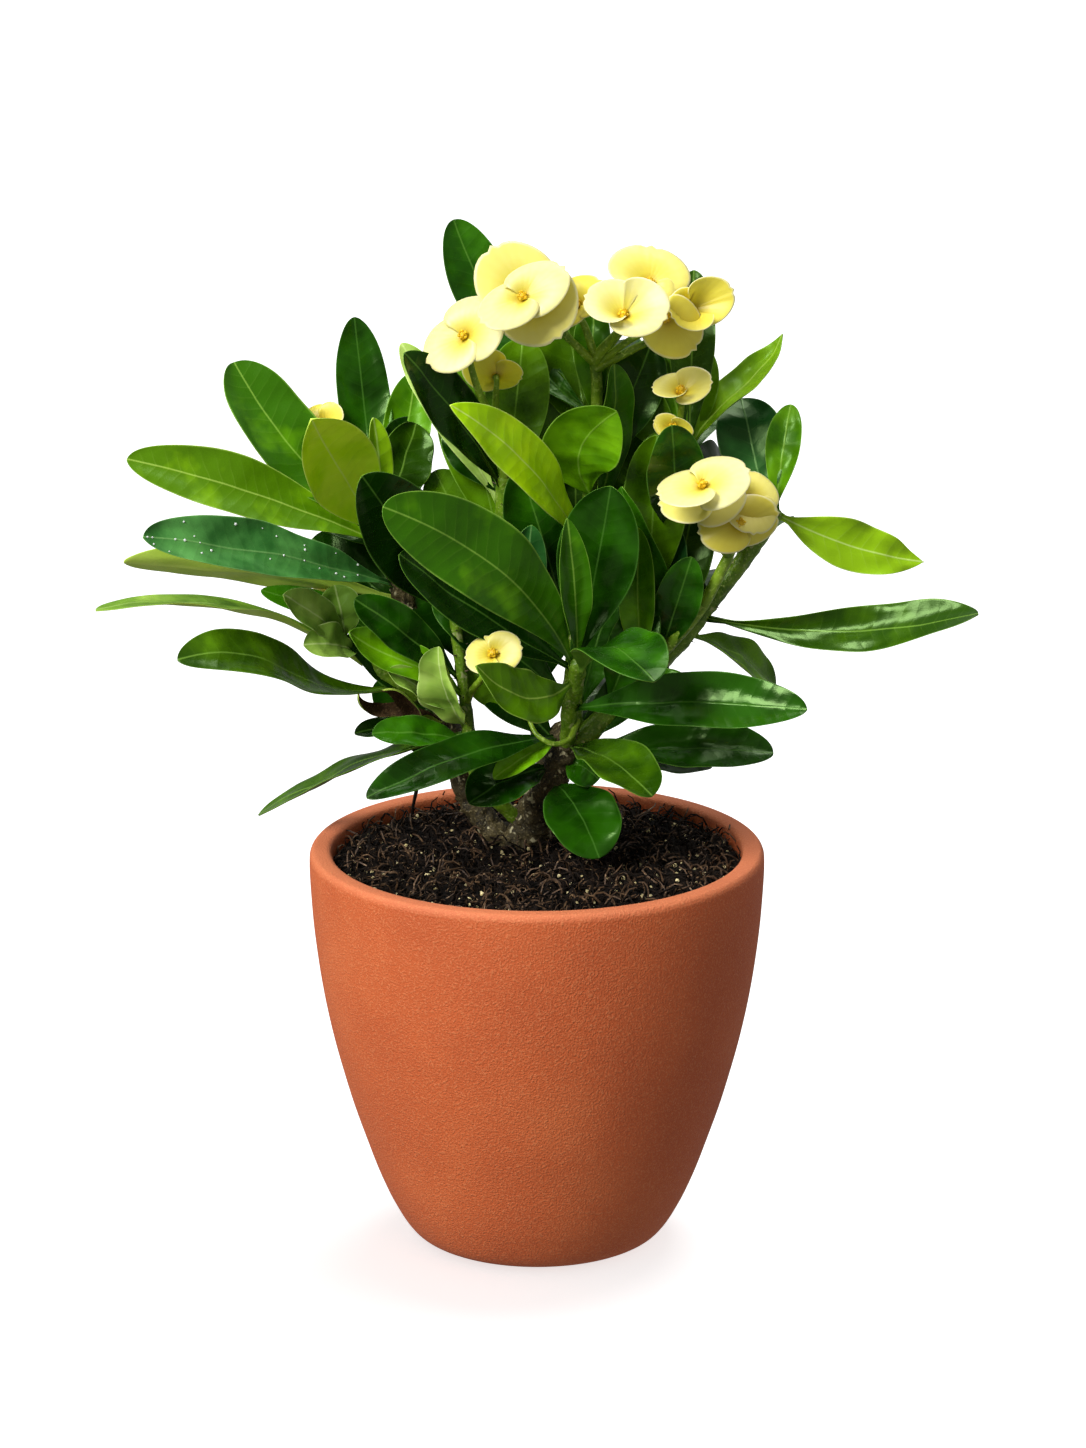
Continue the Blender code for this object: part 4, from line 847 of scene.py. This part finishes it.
def thorn_tree():
    """Nodes that stand thorns around a path: turned by the golden angle, tipped up, sized at random."""
    tree, sources = node_group("thorns_on_path", ("Spacing", "Float"), ("Length", "Float"), ("Seed", "Int"))
    path, spacing, length, seed, skin = sources
    points = add(tree, "GeometryNodeCurveToPoints", {"Curve": path, "Length": spacing}, mode="LENGTH")
    index = add(tree, "GeometryNodeInputIndex").outputs[0]
    jitter = add(tree, "FunctionNodeRandomValue", {2: -0.7, 3: 0.7, 8: seed}, data_type="FLOAT").outputs[1]
    angle = sums(tree, "ADD", sums(tree, "MULTIPLY", index, GOLDEN_ANGLE), jitter)
    around = add(tree, "FunctionNodeAxisAngleToRotation", {0: (0.0, 0.0, 1.0), 1: angle}).outputs[0]
    tip = add(tree, "FunctionNodeAxisAngleToRotation", {0: (0.0, 1.0, 0.0), 1: 1.25}).outputs[0]
    turn = add(tree, "FunctionNodeRotateRotation", {0: points.outputs["Rotation"], 1: around},
               rotation_space="LOCAL").outputs[0]
    turn = add(tree, "FunctionNodeRotateRotation", {0: turn, 1: tip}, rotation_space="LOCAL").outputs[0]
    sizes = {"Vertices": 7, "Side Segments": 3, "Radius Top": 0.00005, "Radius Bottom": 0.00085,
             "Depth": length}
    cone = add(tree, "GeometryNodeMeshCone", sizes)
    size = add(tree, "FunctionNodeRandomValue", {2: 0.45, 3: 1.0, 8: seed}, data_type="FLOAT").outputs[1]
    places = {"Points": points.outputs[0], "Instance": cone.outputs[0], "Rotation": turn, "Scale": size}
    stood = add(tree, "GeometryNodeInstanceOnPoints", places)
    reach = add(tree, "GeometryNodeInputRadius").outputs[0]
    push = add(tree, "ShaderNodeCombineXYZ", {2: sums(tree, "MULTIPLY", reach, 0.8)}).outputs[0]
    moved = add(tree, "GeometryNodeTranslateInstances", {"Instances": stood.outputs[0],
                                                         "Translation": push})
    return ended(tree, moved, skin)


def set_input(modifier, label, value):
    """Gives a Geometry Nodes modifier one of its named inputs."""
    for item in modifier.node_group.interface.items_tree:
        if item.item_type == "SOCKET" and item.in_out == "INPUT" and item.name == label:
            modifier[item.identifier] = value
            return
    raise KeyError(label)


def grown(carrier, tree, values, name):
    """A node tree's plain mesh as a piece of its own, which uses up the object that carried it."""
    modifier = carrier.modifiers.new("grow", "NODES")
    modifier.node_group = tree
    for label, value in values.items():
        set_input(modifier, label, value)
    bpy.context.view_layer.update()
    graph = bpy.context.evaluated_depsgraph_get()
    mesh = bpy.data.meshes.new_from_object(carrier.evaluated_get(graph))
    made = bpy.data.objects.new(name, mesh)
    mesh.name = name
    bpy.context.scene.collection.objects.link(made)
    carrier.modifiers.remove(modifier)
    bpy.data.objects.remove(carrier, do_unlink=True)
    declare(made)
    return made


def ball_tree():
    """Nodes that set a small ball on every point, each sized by the point's own share."""
    tree, (spots, size, seed, skin) = node_group("balls_on_points", ("Size", "Float"), ("Seed", "Int"))
    ball = add(tree, "GeometryNodeMeshUVSphere", {"Segments": 10, "Rings": 7, "Radius": size})
    vary = add(tree, "FunctionNodeRandomValue", {2: 0.75, 3: 1.15, 8: seed}, data_type="FLOAT").outputs[1]
    width = add(tree, "GeometryNodeInputNamedAttribute", {0: "grow"}, data_type="FLOAT").outputs[0]
    scale = sums(tree, "MULTIPLY", vary, width)
    stood = add(tree, "GeometryNodeInstanceOnPoints", {"Points": spots, "Instance": ball.outputs[0],
                                                       "Scale": scale})
    return ended(tree, stood, skin)


def dotted(name, spots, shares, size, seed, look):
    """Small balls on spots in mm: glands on a flower, or drops on a leaf."""
    mesh = bpy.data.meshes.new(name)
    mesh.from_pydata([tuple(p * MM) for p in spots], [], [])
    layer = mesh.attributes.new("grow", "FLOAT", "POINT")
    layer.data.foreach_set("value", np.array(shares, dtype=np.float32))
    carrier = bpy.data.objects.new(name + "_spots", mesh)
    bpy.context.scene.collection.objects.link(carrier)
    tree = bpy.data.node_groups.get("balls_on_points") or ball_tree()
    grown(carrier, tree, {"Size": size, "Seed": seed, "Material": finish(look)}, name)


def path_object(name, rows):
    """A poly curve through rows of x, y, z, radius in mm, to carry a node tree."""
    curve = bpy.data.curves.new(name, "CURVE")
    curve.dimensions = "3D"
    line = curve.splines.new("POLY")
    line.points.add(len(rows) - 1)
    for point, row in zip(line.points, rows):
        point.co = (*(row[:3] * MM), 1.0)
        point.radius = row[3] * MM
    made = bpy.data.objects.new(name, curve)
    bpy.context.scene.collection.objects.link(made)
    return made


class EUPHORBIA_OT_stems(bpy.types.Operator):
    """Builds the trunk, branches and shoots"""

    bl_idname = "euphorbia.stems"
    bl_label = "Stems"

    def execute(self, context):
        for name, knots in STEMS.items():
            rows = ((JOINS[name],) if name in JOINS else ()) + knots
            sides = 56 if name == "trunk" else 28
            path = smooth_path(rows, 26 if name == "trunk" else 14)
            points, faces = tube(path, sides, bark_relief(name))
            look = "bark" if name in BARKY else "green_stem"
            publish(name + "_skin", points * MM, faces, (look,), nodes=(name,))
        points, faces = tube(smooth_path(CURLED_PETIOLE, 10), 12)
        publish("curled_petiole", points * MM, faces, ("stalk",))
        return {"FINISHED"}


class EUPHORBIA_OT_thorns(bpy.types.Operator):
    """Stands thorns along the stems"""

    bl_idname = "euphorbia.thorns"
    bl_label = "Thorns"

    def execute(self, context):
        sizes = context.scene.plant_sizes
        tree = thorn_tree()
        for number, (name, knots) in enumerate(STEMS.items()):
            rows = smooth_path(knots, 8)
            if name == "trunk":
                rows = rows[26:]
            values = {
                "Spacing": sizes.thorn_spacing, "Length": sizes.thorn_length, "Seed": sizes.seed + number,
                "Material": finish("thorn"),
            }
            grown(path_object(name + "_path", rows), tree, values, name + "_thorns")
        return {"FINISHED"}


# ---------------------------------------------------------------- flowers
# Degrees that a bract spreads to each side, and the radius in mm of the throat that it grows from.
BRACT_SWEEP, THROAT = 108, 1.2


def bract(centre, up, outward, size, breadth, turn, cup, rows=16, columns=30):
    """Points, faces and shares of one kidney-shaped bract that lies out from the flower's centre."""
    other = np.cross(up, outward)
    points, shares = [], []
    for top in (1, -1):
        for i in range(rows + 1):
            for j in range(columns + 1):
                rho, phi = i / rows, j / columns * 2 - 1
                angle = phi * math.radians(BRACT_SWEEP)
                edge = size * (1 - 0.42 * abs(phi) ** 5) * (1 + 0.05 * math.sin(3.0 * phi + turn))
                edge *= 1 - 0.09 * math.exp(-((phi / 0.10) ** 2)) + 0.10 * math.exp(-((phi / 0.035) ** 2))
                flat = outward * math.cos(angle) + other * (math.sin(angle) * breadth)
                # Each bract rises from the throat, rolls over at its rim and waves once or twice across.
                lift = size * (cup * rho ** 1.2 + 0.07 * math.sin(math.pi * rho) - 0.03 * rho ** 6)
                lift -= size * 0.10 * cup * rho ** 3 * abs(phi)
                lift += size * 0.13 * rho ** 2 * math.sin(2.6 * phi + turn) + size * 0.12 * phi * rho
                r = THROAT + (edge - THROAT) * rho * (1 - 0.18 * cup * rho)
                skin = 0.15 * math.sqrt(max(1 - max(rho, abs(phi)) ** 6, 0.0)) + 0.04
                points.append(centre + flat * r + up * (lift + top * skin))
                shares.append((rho, phi))
    wide = columns + 1
    count = (rows + 1) * wide
    faces = []
    for i in range(rows):
        for j in range(columns):
            a = i * wide + j
            faces.append((a, a + wide, a + wide + 1, a + 1))
            faces.append((count + a, count + a + 1, count + a + wide + 1, count + a + wide))
    loop = [j for j in range(wide)] + [i * wide + columns for i in range(1, rows + 1)]
    loop += [rows * wide + j for j in range(columns - 1, -1, -1)]
    loop += [i * wide for i in range(rows - 1, 0, -1)]
    for one, two in zip(loop, loop[1:] + loop[:1]):
        faces.append((one, two, count + two, count + one))
    return np.array(points), faces, shares


def flower(name, centre, face, spin, radius, second, breadth, cup, look, nodes=()):
    """Two kidney-shaped bracts around a small cup with golden glands."""
    up = facing(*face)
    across = unit(np.cross((0.0, 0.0, 1.0), up))
    other = np.cross(up, across)
    turn = math.radians(spin)
    outward = across * math.cos(turn) + other * math.sin(turn)
    middle = np.array(centre, dtype=float)
    parts, shares = [], []
    for sign, size in ((1, radius), (-1, radius * second)):
        points, faces, share = bract(middle, up, outward * sign, abs(size), breadth, spin * 0.05 + sign,
                                     cup)
        parts.append((points, faces))
        shares += share
    points, faces = bundle(parts)
    publish(name + "_bracts", points * MM, faces, (look,), maps={"share": shares},
            nodes=nodes)
    profile = ((-0.6, 0.9), (0.4, 1.3), (1.4, 1.6), (2.0, 1.3))
    cup_rows = np.array([np.append(middle + up * height, width) for height, width in profile])
    points, faces = tube(cup_rows, 16)
    publish(name + "_cup", points * MM, faces, ("gland",))
    spots, grow = [], []
    # Five glands stand around the cup's rim, and eight smaller balls inside it at uneven heights.
    for count, height, step, reach, size in ((5, 1.9, 0.0, 1.5, 1.0), (8, 2.8, 0.3, 0.8, 0.5)):
        for i in range(count):
            a = 2 * math.pi * i / count + turn
            out = across * math.cos(a) + other * math.sin(a)
            spots.append(middle + up * (height + step * (i % 2)) + out * (reach + step * (i % 3)))
            grow.append(size)
    dotted(name + "_glands", spots, grow, 0.00066, int(radius * 7), "gland")


class EUPHORBIA_OT_flowers(bpy.types.Operator):
    """Builds every flower"""

    bl_idname = "euphorbia.flowers"
    bl_label = "Flowers"

    def execute(self, context):
        for name, values in FLOWERS.items():
            flower(name, *values, nodes=(name,))
        for name, values in MORE_FLOWERS.items():
            flower(name, *values)
        return {"FINISHED"}


def behind(name, distance):
    """A point at a distance in mm behind a flower's centre."""
    values = {**FLOWERS, **MORE_FLOWERS}[name]
    return tuple(np.array(values[0], dtype=float) - facing(*values[1]) * distance)


# Stalks: the CAD node each stands for, and its rods as (x, y, z, radius) or a flower's name to end in.
STALKS = {
    "stalk_top": (
        ((22, 12, 310, 2.2), (22, 11, 327, 2.1), (22, 10, 336, 2.2), (29, 2, 347, 1.4),
         "flower_top_centre"),
        ((22, 11, 333, 1.7), (12, 5, 344, 1.4), (2, -2, 354, 1.2), "flower_top_left"),
        ((22, 11, 334, 1.7), (31, 15, 345, 1.3), (41, 17, 355, 1.1), "flower_top_back"),
        ((22, 10, 332, 1.8), (36, 9, 340, 1.5), (50, 7, 347, 1.2), "flower_top_right"),
        ((22, 11, 334, 1.7), (18, 8, 347, 1.4), (15, 5, 354, 1.1), "flower_more_b"),
        ((22, 11, 333, 1.6), (33, 6, 343, 1.3), (44, 0, 350, 1.1), "flower_more_d"),
        ((12, 6, 344, 1.4), (4, 3, 354, 1.2), "flower_more_a"),
        ((50, 14, 300, 1.6), (52, 10, 310, 1.3), (53, 6, 319, 1.1), "flower_right"),
        ((51, 12, 305, 1.2), (53, 9, 310, 0.9), "flower_more_e"),
    ),
    "stalk_left": (
        ((-12, 12, 288, 2.0), (-12, 7, 305, 1.8), (-15, 5, 317, 1.5), "flower_back"),
        ((-13, 6, 309, 1.6), (-20, -4, 324, 1.4), (-24, -6, 337, 1.2), "flower_top_low"),
    ),
    "stalk_right": (
        ((44, 9, 222, 2.4), (50, 7, 229, 2.5), (61, 3, 244, 2.4), (70, 2, 262, 2.0), (75, 1, 274, 1.4),
         "flower_right_low"),
        ((71, 2, 264, 1.8), (68, -6, 275, 1.5), (62, -15, 286, 1.2), "flower_right_cup"),
        ((70, 3, 260, 1.6), (72, 4, 265, 1.3), "flower_more_f"),
        ((70, 1, 264, 1.5), (66, -4, 271, 1.3), "flower_more_j"),
    ),
    "stalk_low": (
        ((-26, 4, 207, 1.6), (-24, -6, 214, 1.4), (-19, -16, 223, 1.2), "flower_low"),
    ),
}


class EUPHORBIA_OT_stalks(bpy.types.Operator):
    """Builds the forked flower stalks"""

    bl_idname = "euphorbia.stalks"
    bl_label = "Flower Stalks"

    def execute(self, context):
        for name, rods in STALKS.items():
            parts = []
            for rod in rods:
                rows = [row for row in rod if not isinstance(row, str)]
                rows += [(*behind(rod[-1], 4), 0.95), (*behind(rod[-1], 0.3), 1.3)]
                parts.append(tube(smooth_path(rows, 8), 14))
            points, faces = bundle(parts)
            nodes = (name,) if name != "stalk_low" else ()
            publish(name + "_rods", points * MM, faces, ("stalk",), nodes=nodes)
        return {"FINISHED"}


# ---------------------------------------------------------------- pot and soil
POT_TOP = 152.0
SOIL_LEVEL = 145.6
# The pot's outside, lip and inside as (radius, height) in mm.
POT_OUTLINE = (
    (0.0, 0.0), (38.0, 0.0), (41.6, 0.35), (44.6, 1.2), (47.4, 3.0), (50.0, 6.0), (52.2, 9.4), (54.4, 13.4),
    (57.0, 18.6), (61.0, 28.2), (65.3, 40.4), (69.4, 52.6), (72.9, 64.8), (76.1, 77.0), (78.8, 89.2),
    (80.9, 101.0), (82.5, 112.4), (83.8, 124.0), (84.6, 135.0), (85.0, 143.0), (85.0, 148.6), (84.8, 150.0),
    (84.3, 151.0), (83.5, 151.7), (82.3, 151.95), (80.6, 152.0), (78.9, 151.95), (77.8, 151.6), (77.0,
                                                                                                 150.9),
    (76.6, 149.8), (76.4, 147.8), (76.2, 144.0), (75.8, 138.0), (75.0, 124.0), (72.0, 100.0), (66.0, 70.0),
    (56.0, 40.0), (45.0, 18.0), (36.0, 10.4), (0.0, 10.0),
)


class EUPHORBIA_OT_pot(bpy.types.Operator):
    """Turns the terracotta pot"""

    bl_idname = "euphorbia.pot"
    bl_label = "Pot"

    def execute(self, context):
        sides = context.scene.pot_sizes.sides
        knots = [(r, z, 0.0, 0.0) for r, z in POT_OUTLINE]
        outline = smooth_path(knots, 3)[:, :2]
        outline[:, 0] = np.maximum(outline[:, 0], 0.0)
        outline[:, 1] = np.clip(outline[:, 1], 0.0, POT_TOP)
        rings, points = [], []
        for radius, height in outline:
            if radius < 1e-6:
                rings.append([len(points)])
                points.append((0.0, 0.0, height))
                continue
            rings.append(list(range(len(points), len(points) + sides)))
            for side in range(sides):
                a = 2 * math.pi * side / sides
                points.append((radius * math.cos(a), radius * math.sin(a), height))
        points = np.array(points) * MM
        publish("pot_body", points, walls(rings), ("terracotta",), nodes=("pot",))
        return {"FINISHED"}


def soil_height(x, y):
    """Height of the soil in mm: a lumpy bed, banked up against the stems' feet."""
    lumps = 0.0
    for pitch, layer, rise in ((0.06, 3.0, 1.5), (0.2, 9.0, 1.1), (0.6, 5.0, 0.6)):
        lumps += noise.noise(Vector((x * pitch, y * pitch, layer))) * rise
    bank = 4.0 * math.exp(-((x + 8) ** 2 + (y - 13) ** 2) / 420.0)
    return SOIL_LEVEL + lumps + bank


def loose_tree():
    """Nodes that strew one kind of loose bit over a bed: fibres, chips or grains."""
    floats = [(label, "Float") for label in ("Count", "Small", "Large", "Tilt")]
    tree, sources = node_group("loose_bits_on_bed", *floats, ("Seed", "Int"), ("Bit", "Object"))
    bed, count, small, large, tilt, seed, bit, skin = sources
    spread = add(tree, "GeometryNodeDistributePointsOnFaces", {"Mesh": bed, "Density": count, "Seed": seed})
    back, half_turn = sums(tree, "MULTIPLY", tilt, -1.0), 3.14159
    low = add(tree, "ShaderNodeCombineXYZ", {0: back, 1: back, 2: -half_turn})
    high = add(tree, "ShaderNodeCombineXYZ", {0: tilt, 1: tilt, 2: half_turn})
    turn = add(tree, "FunctionNodeRandomValue", {0: low.outputs[0], 1: high.outputs[0], 8: seed},
               data_type="FLOAT_VECTOR").outputs[0]
    size = add(tree, "FunctionNodeRandomValue", {2: small, 3: large, 8: seed}, data_type="FLOAT").outputs[1]
    shape = add(tree, "GeometryNodeObjectInfo", {0: bit}, transform_space="ORIGINAL").outputs["Geometry"]
    places = {"Points": spread.outputs[0], "Instance": shape, "Rotation": turn, "Scale": size}
    stood = add(tree, "GeometryNodeInstanceOnPoints", places)
    return ended(tree, stood, skin)


def bit_shape(name, kind):
    """A loose bit about one unit long: a bent fibre, a broken chip or a rounded grain."""
    rng = np.random.default_rng(11)
    if kind == "fibre":
        rows = [
            (0.42 * math.cos(3.4 * t), 0.30 * math.sin(4.2 * t), 0.14 * math.sin(5.2 * t + 1),
             0.021 * (1.2 - abs(t - 0.45)))
            for t in np.linspace(0, 1, 8)
        ]
        points, faces = tube(np.array(rows), 4)
    else:
        flat = {"chip": (0.5, 0.30, 0.12), "grain": (0.5, 0.46, 0.42)}[kind]
        around = np.linspace(0, 2 * math.pi, 7)[:-1]
        rings = [[(0, 0, -1)]] + [
            [(math.cos(a) * math.cos(e), math.sin(a) * math.cos(e), math.sin(e)) for a in around]
            for e in (-0.6, 0.0, 0.6)
        ] + [[(0, 0, 1)]]
        points = [np.array(p) * flat * rng.uniform(0.8, 1.15) for ring in rings for p in ring]
        ids, starts = 0, []
        for ring in rings:
            starts.append(list(range(ids, ids + len(ring))))
            ids += len(ring)
        faces = walls(starts)
    mesh = bpy.data.meshes.new(name)
    mesh.from_pydata([tuple(p) for p in points], [], faces)
    return bpy.data.objects.new(name, mesh)


class EUPHORBIA_OT_soil(bpy.types.Operator):
    """Builds the potting mix with its fibres, chips and perlite"""

    bl_idname = "euphorbia.soil"
    bl_label = "Soil"

    def execute(self, context):
        sizes = context.scene.pot_sizes
        rings, sides, edge = 46, 120, 75.6
        points, faces = [(0.0, 0.0, soil_height(0.0, 0.0))], []
        for ring in range(1, rings + 1):
            for side in range(sides):
                a = 2 * math.pi * side / sides
                r = edge * ring / rings
                x, y = r * math.cos(a), r * math.sin(a)
                points.append((x, y, soil_height(x, y)))
        for ring in range(rings):
            for side in range(sides):
                after = (side + 1) % sides
                if ring == 0:
                    faces.append((0, 1 + side, 1 + after))
                else:
                    low, high = 1 + (ring - 1) * sides, 1 + ring * sides
                    faces.append((low + side, high + side, high + after, low + after))
        bed_faces = list(faces)
        last = 1 + (rings - 1) * sides
        foot = len(points)
        for radius, height in ((75.0, 136.0), (58.0, 60.0), (40.0, 12.0)):
            for side in range(sides):
                a = 2 * math.pi * side / sides
                points.append((radius * math.cos(a), radius * math.sin(a), height))
        for level in range(3):
            low = last if level == 0 else foot + (level - 1) * sides
            high = foot + level * sides
            for side in range(sides):
                after = (side + 1) % sides
                faces.append((low + side, high + side, high + after, low + after))
        faces.append(tuple(reversed(range(foot + 2 * sides, foot + 3 * sides))))
        publish("soil_bed", np.array(points) * MM, faces, ("soil",), nodes=("soil",))
        twig, twig_faces = tube(smooth_path(DRY_TWIG, 8), 8)
        publish("dry_twig", twig * MM, twig_faces, ("chip",))
        tree = loose_tree()
        area = math.pi * (0.074 ** 2)
        strewn = (
            ("fibre", "fibre", sizes.fibre_count, 0.006, 0.019, 1.1, 1),
            ("fibre", "chip", sizes.fibre_count * 1.6, 0.007, 0.019, 1.1, 2),
            ("chip", "chip", sizes.chip_count, 0.003, 0.009, 0.9, 3),
            ("chip", "soil", sizes.chip_count, 0.002, 0.008, 0.9, 4),
            ("grain", "perlite", sizes.perlite_count, 0.0008, 0.0021, 1.5, 5),
        )
        for kind, look, count, small, large, tilt, seed in strewn:
            bed = bpy.data.meshes.new("bed")
            lift = 1.2 if kind == "grain" else 0.2
            inside = [(x * 0.975 * MM, y * 0.975 * MM, (z + lift) * MM) for x, y, z in points[:foot]]
            bed.from_pydata(inside, [], bed_faces)
            carrier = bpy.data.objects.new("bed", bed)
            bpy.context.scene.collection.objects.link(carrier)
            values = {
                "Count": count / area, "Small": small, "Large": large, "Tilt": tilt, "Seed": seed,
                "Bit": bit_shape(kind + "_bit", kind), "Material": finish(look),
            }
            grown(carrier, tree, values, "loose_%s_%s" % (kind, look))
        return {"FINISHED"}


# ---------------------------------------------------------------- stage
def soft_light(name, source, strength, breadth):
    """A distant soft light from a direction, as broad in degrees as a studio's diffuser."""
    data = bpy.data.lights.new(name, "SUN")
    data.energy = strength
    data.angle = math.radians(breadth)
    made = bpy.data.objects.new(name, data)
    made.rotation_euler = Vector(source).to_track_quat("Z", "Y").to_euler()
    bpy.context.scene.collection.objects.link(made)
    return made


class EUPHORBIA_OT_stage(bpy.types.Operator):
    """Sets the camera, the pale floor and the soft lights"""

    bl_idname = "euphorbia.stage"
    bl_label = "Stage"

    def execute(self, context):
        scene = context.scene
        distance, down, aim = 2.0, math.radians(15.9), Vector((0.00226, 0.0, 0.1995))
        data = bpy.data.cameras.new("camera")
        # The view is 15.1 degrees tall.
        data.lens = 133.84
        data.sensor_width = 36.0
        data.clip_start = 0.05
        data.dof.use_dof = False
        camera = bpy.data.objects.new("camera", data)
        camera.location = aim + Vector((0.0, -math.cos(down), math.sin(down))) * distance
        camera.rotation_euler = (math.pi / 2 - down, 0.0, 0.0)
        scene.collection.objects.link(camera)
        scene.camera = camera

        # A white light table: it glows evenly, and throws little light back up.
        made, tree, shader = finish_named("floor_white_light_table")
        shader.inputs["Base Color"].default_value = shade("#E6E6E6")
        shader.inputs["Roughness"].default_value = 0.9
        shader.inputs["Specular IOR Level"].default_value = 0.0
        shader.inputs["Emission Color"].default_value = shade("#FFFFFF")
        shader.inputs["Emission Strength"].default_value = 0.70
        mesh = bpy.data.meshes.new("floor")
        reach = 6.0
        corners = [(-reach, -reach, 0), (reach, -reach, 0), (reach, reach, 0), (-reach, reach, 0)]
        mesh.from_pydata(corners, [], [(0, 1, 2, 3)])
        mesh.materials.append(made)
        floor = bpy.data.objects.new("floor", mesh)
        floor.location = (0.0, 0.0, -0.0005)
        floor.visible_diffuse = False
        floor.visible_glossy = False
        scene.collection.objects.link(floor)

        world = bpy.data.worlds.new("studio")
        world.use_nodes = True
        world.node_tree.nodes["Background"].inputs[0].default_value = shade("#FFFFFF")
        world.node_tree.nodes["Background"].inputs[1].default_value = 0.36
        scene.world = world
        # Broad soft light: a key from the upper left front that spares the floor, and one from overhead.
        key = soft_light("key", (-0.62, -0.62, 0.72), 5.0, 28.0)
        spared = bpy.data.collections.new("key_spares_floor")
        spared.objects.link(floor)
        key.light_linking.receiver_collection = spared
        spared.collection_objects[0].light_linking.link_state = "EXCLUDE"
        soft_light("top", (0.10, 0.25, 1.00), 1.9, 34.0)
        scene.view_settings.view_transform = "Standard"
        scene.view_settings.look = "None"
        return {"FINISHED"}


# ---------------------------------------------------------------- add-on
class EUPHORBIA_PT_build(bpy.types.Panel):
    """Lists the plant's pieces"""

    bl_label = "Potted Euphorbia"
    bl_idname = "EUPHORBIA_PT_build"
    bl_space_type = "VIEW_3D"
    bl_region_type = "UI"
    bl_category = "Euphorbia"

    def draw(self, context):
        for group in (context.scene.plant_sizes, context.scene.pot_sizes):
            for name in group.bl_rna.properties.keys():
                if name not in ("rna_type", "name"):
                    self.layout.prop(group, name)
        for piece in PIECES:
            self.layout.operator(piece.bl_idname)


PIECES = (
    EUPHORBIA_OT_stage, EUPHORBIA_OT_pot, EUPHORBIA_OT_soil, EUPHORBIA_OT_stems, EUPHORBIA_OT_thorns,
    EUPHORBIA_OT_leaves, EUPHORBIA_OT_flowers, EUPHORBIA_OT_stalks,
)
CLASSES = (PlantSizes, PotSizes) + PIECES + (EUPHORBIA_PT_build,)


def register():
    """Adds the pieces, sizes and panel to Blender."""
    for item in CLASSES:
        bpy.utils.register_class(item)
    bpy.types.Scene.plant_sizes = PointerProperty(type=PlantSizes)
    bpy.types.Scene.pot_sizes = PointerProperty(type=PotSizes)


def unregister():
    """Takes the pieces, sizes and panel out of Blender."""
    del bpy.types.Scene.pot_sizes
    del bpy.types.Scene.plant_sizes
    for item in reversed(CLASSES):
        bpy.utils.unregister_class(item)


def main():
    register()
    for piece in PIECES:
        group, action = piece.bl_idname.split(".")
        getattr(getattr(bpy.ops, group), action)()
    bpy.context.view_layer.update()


if __name__ == "__main__":
    main()
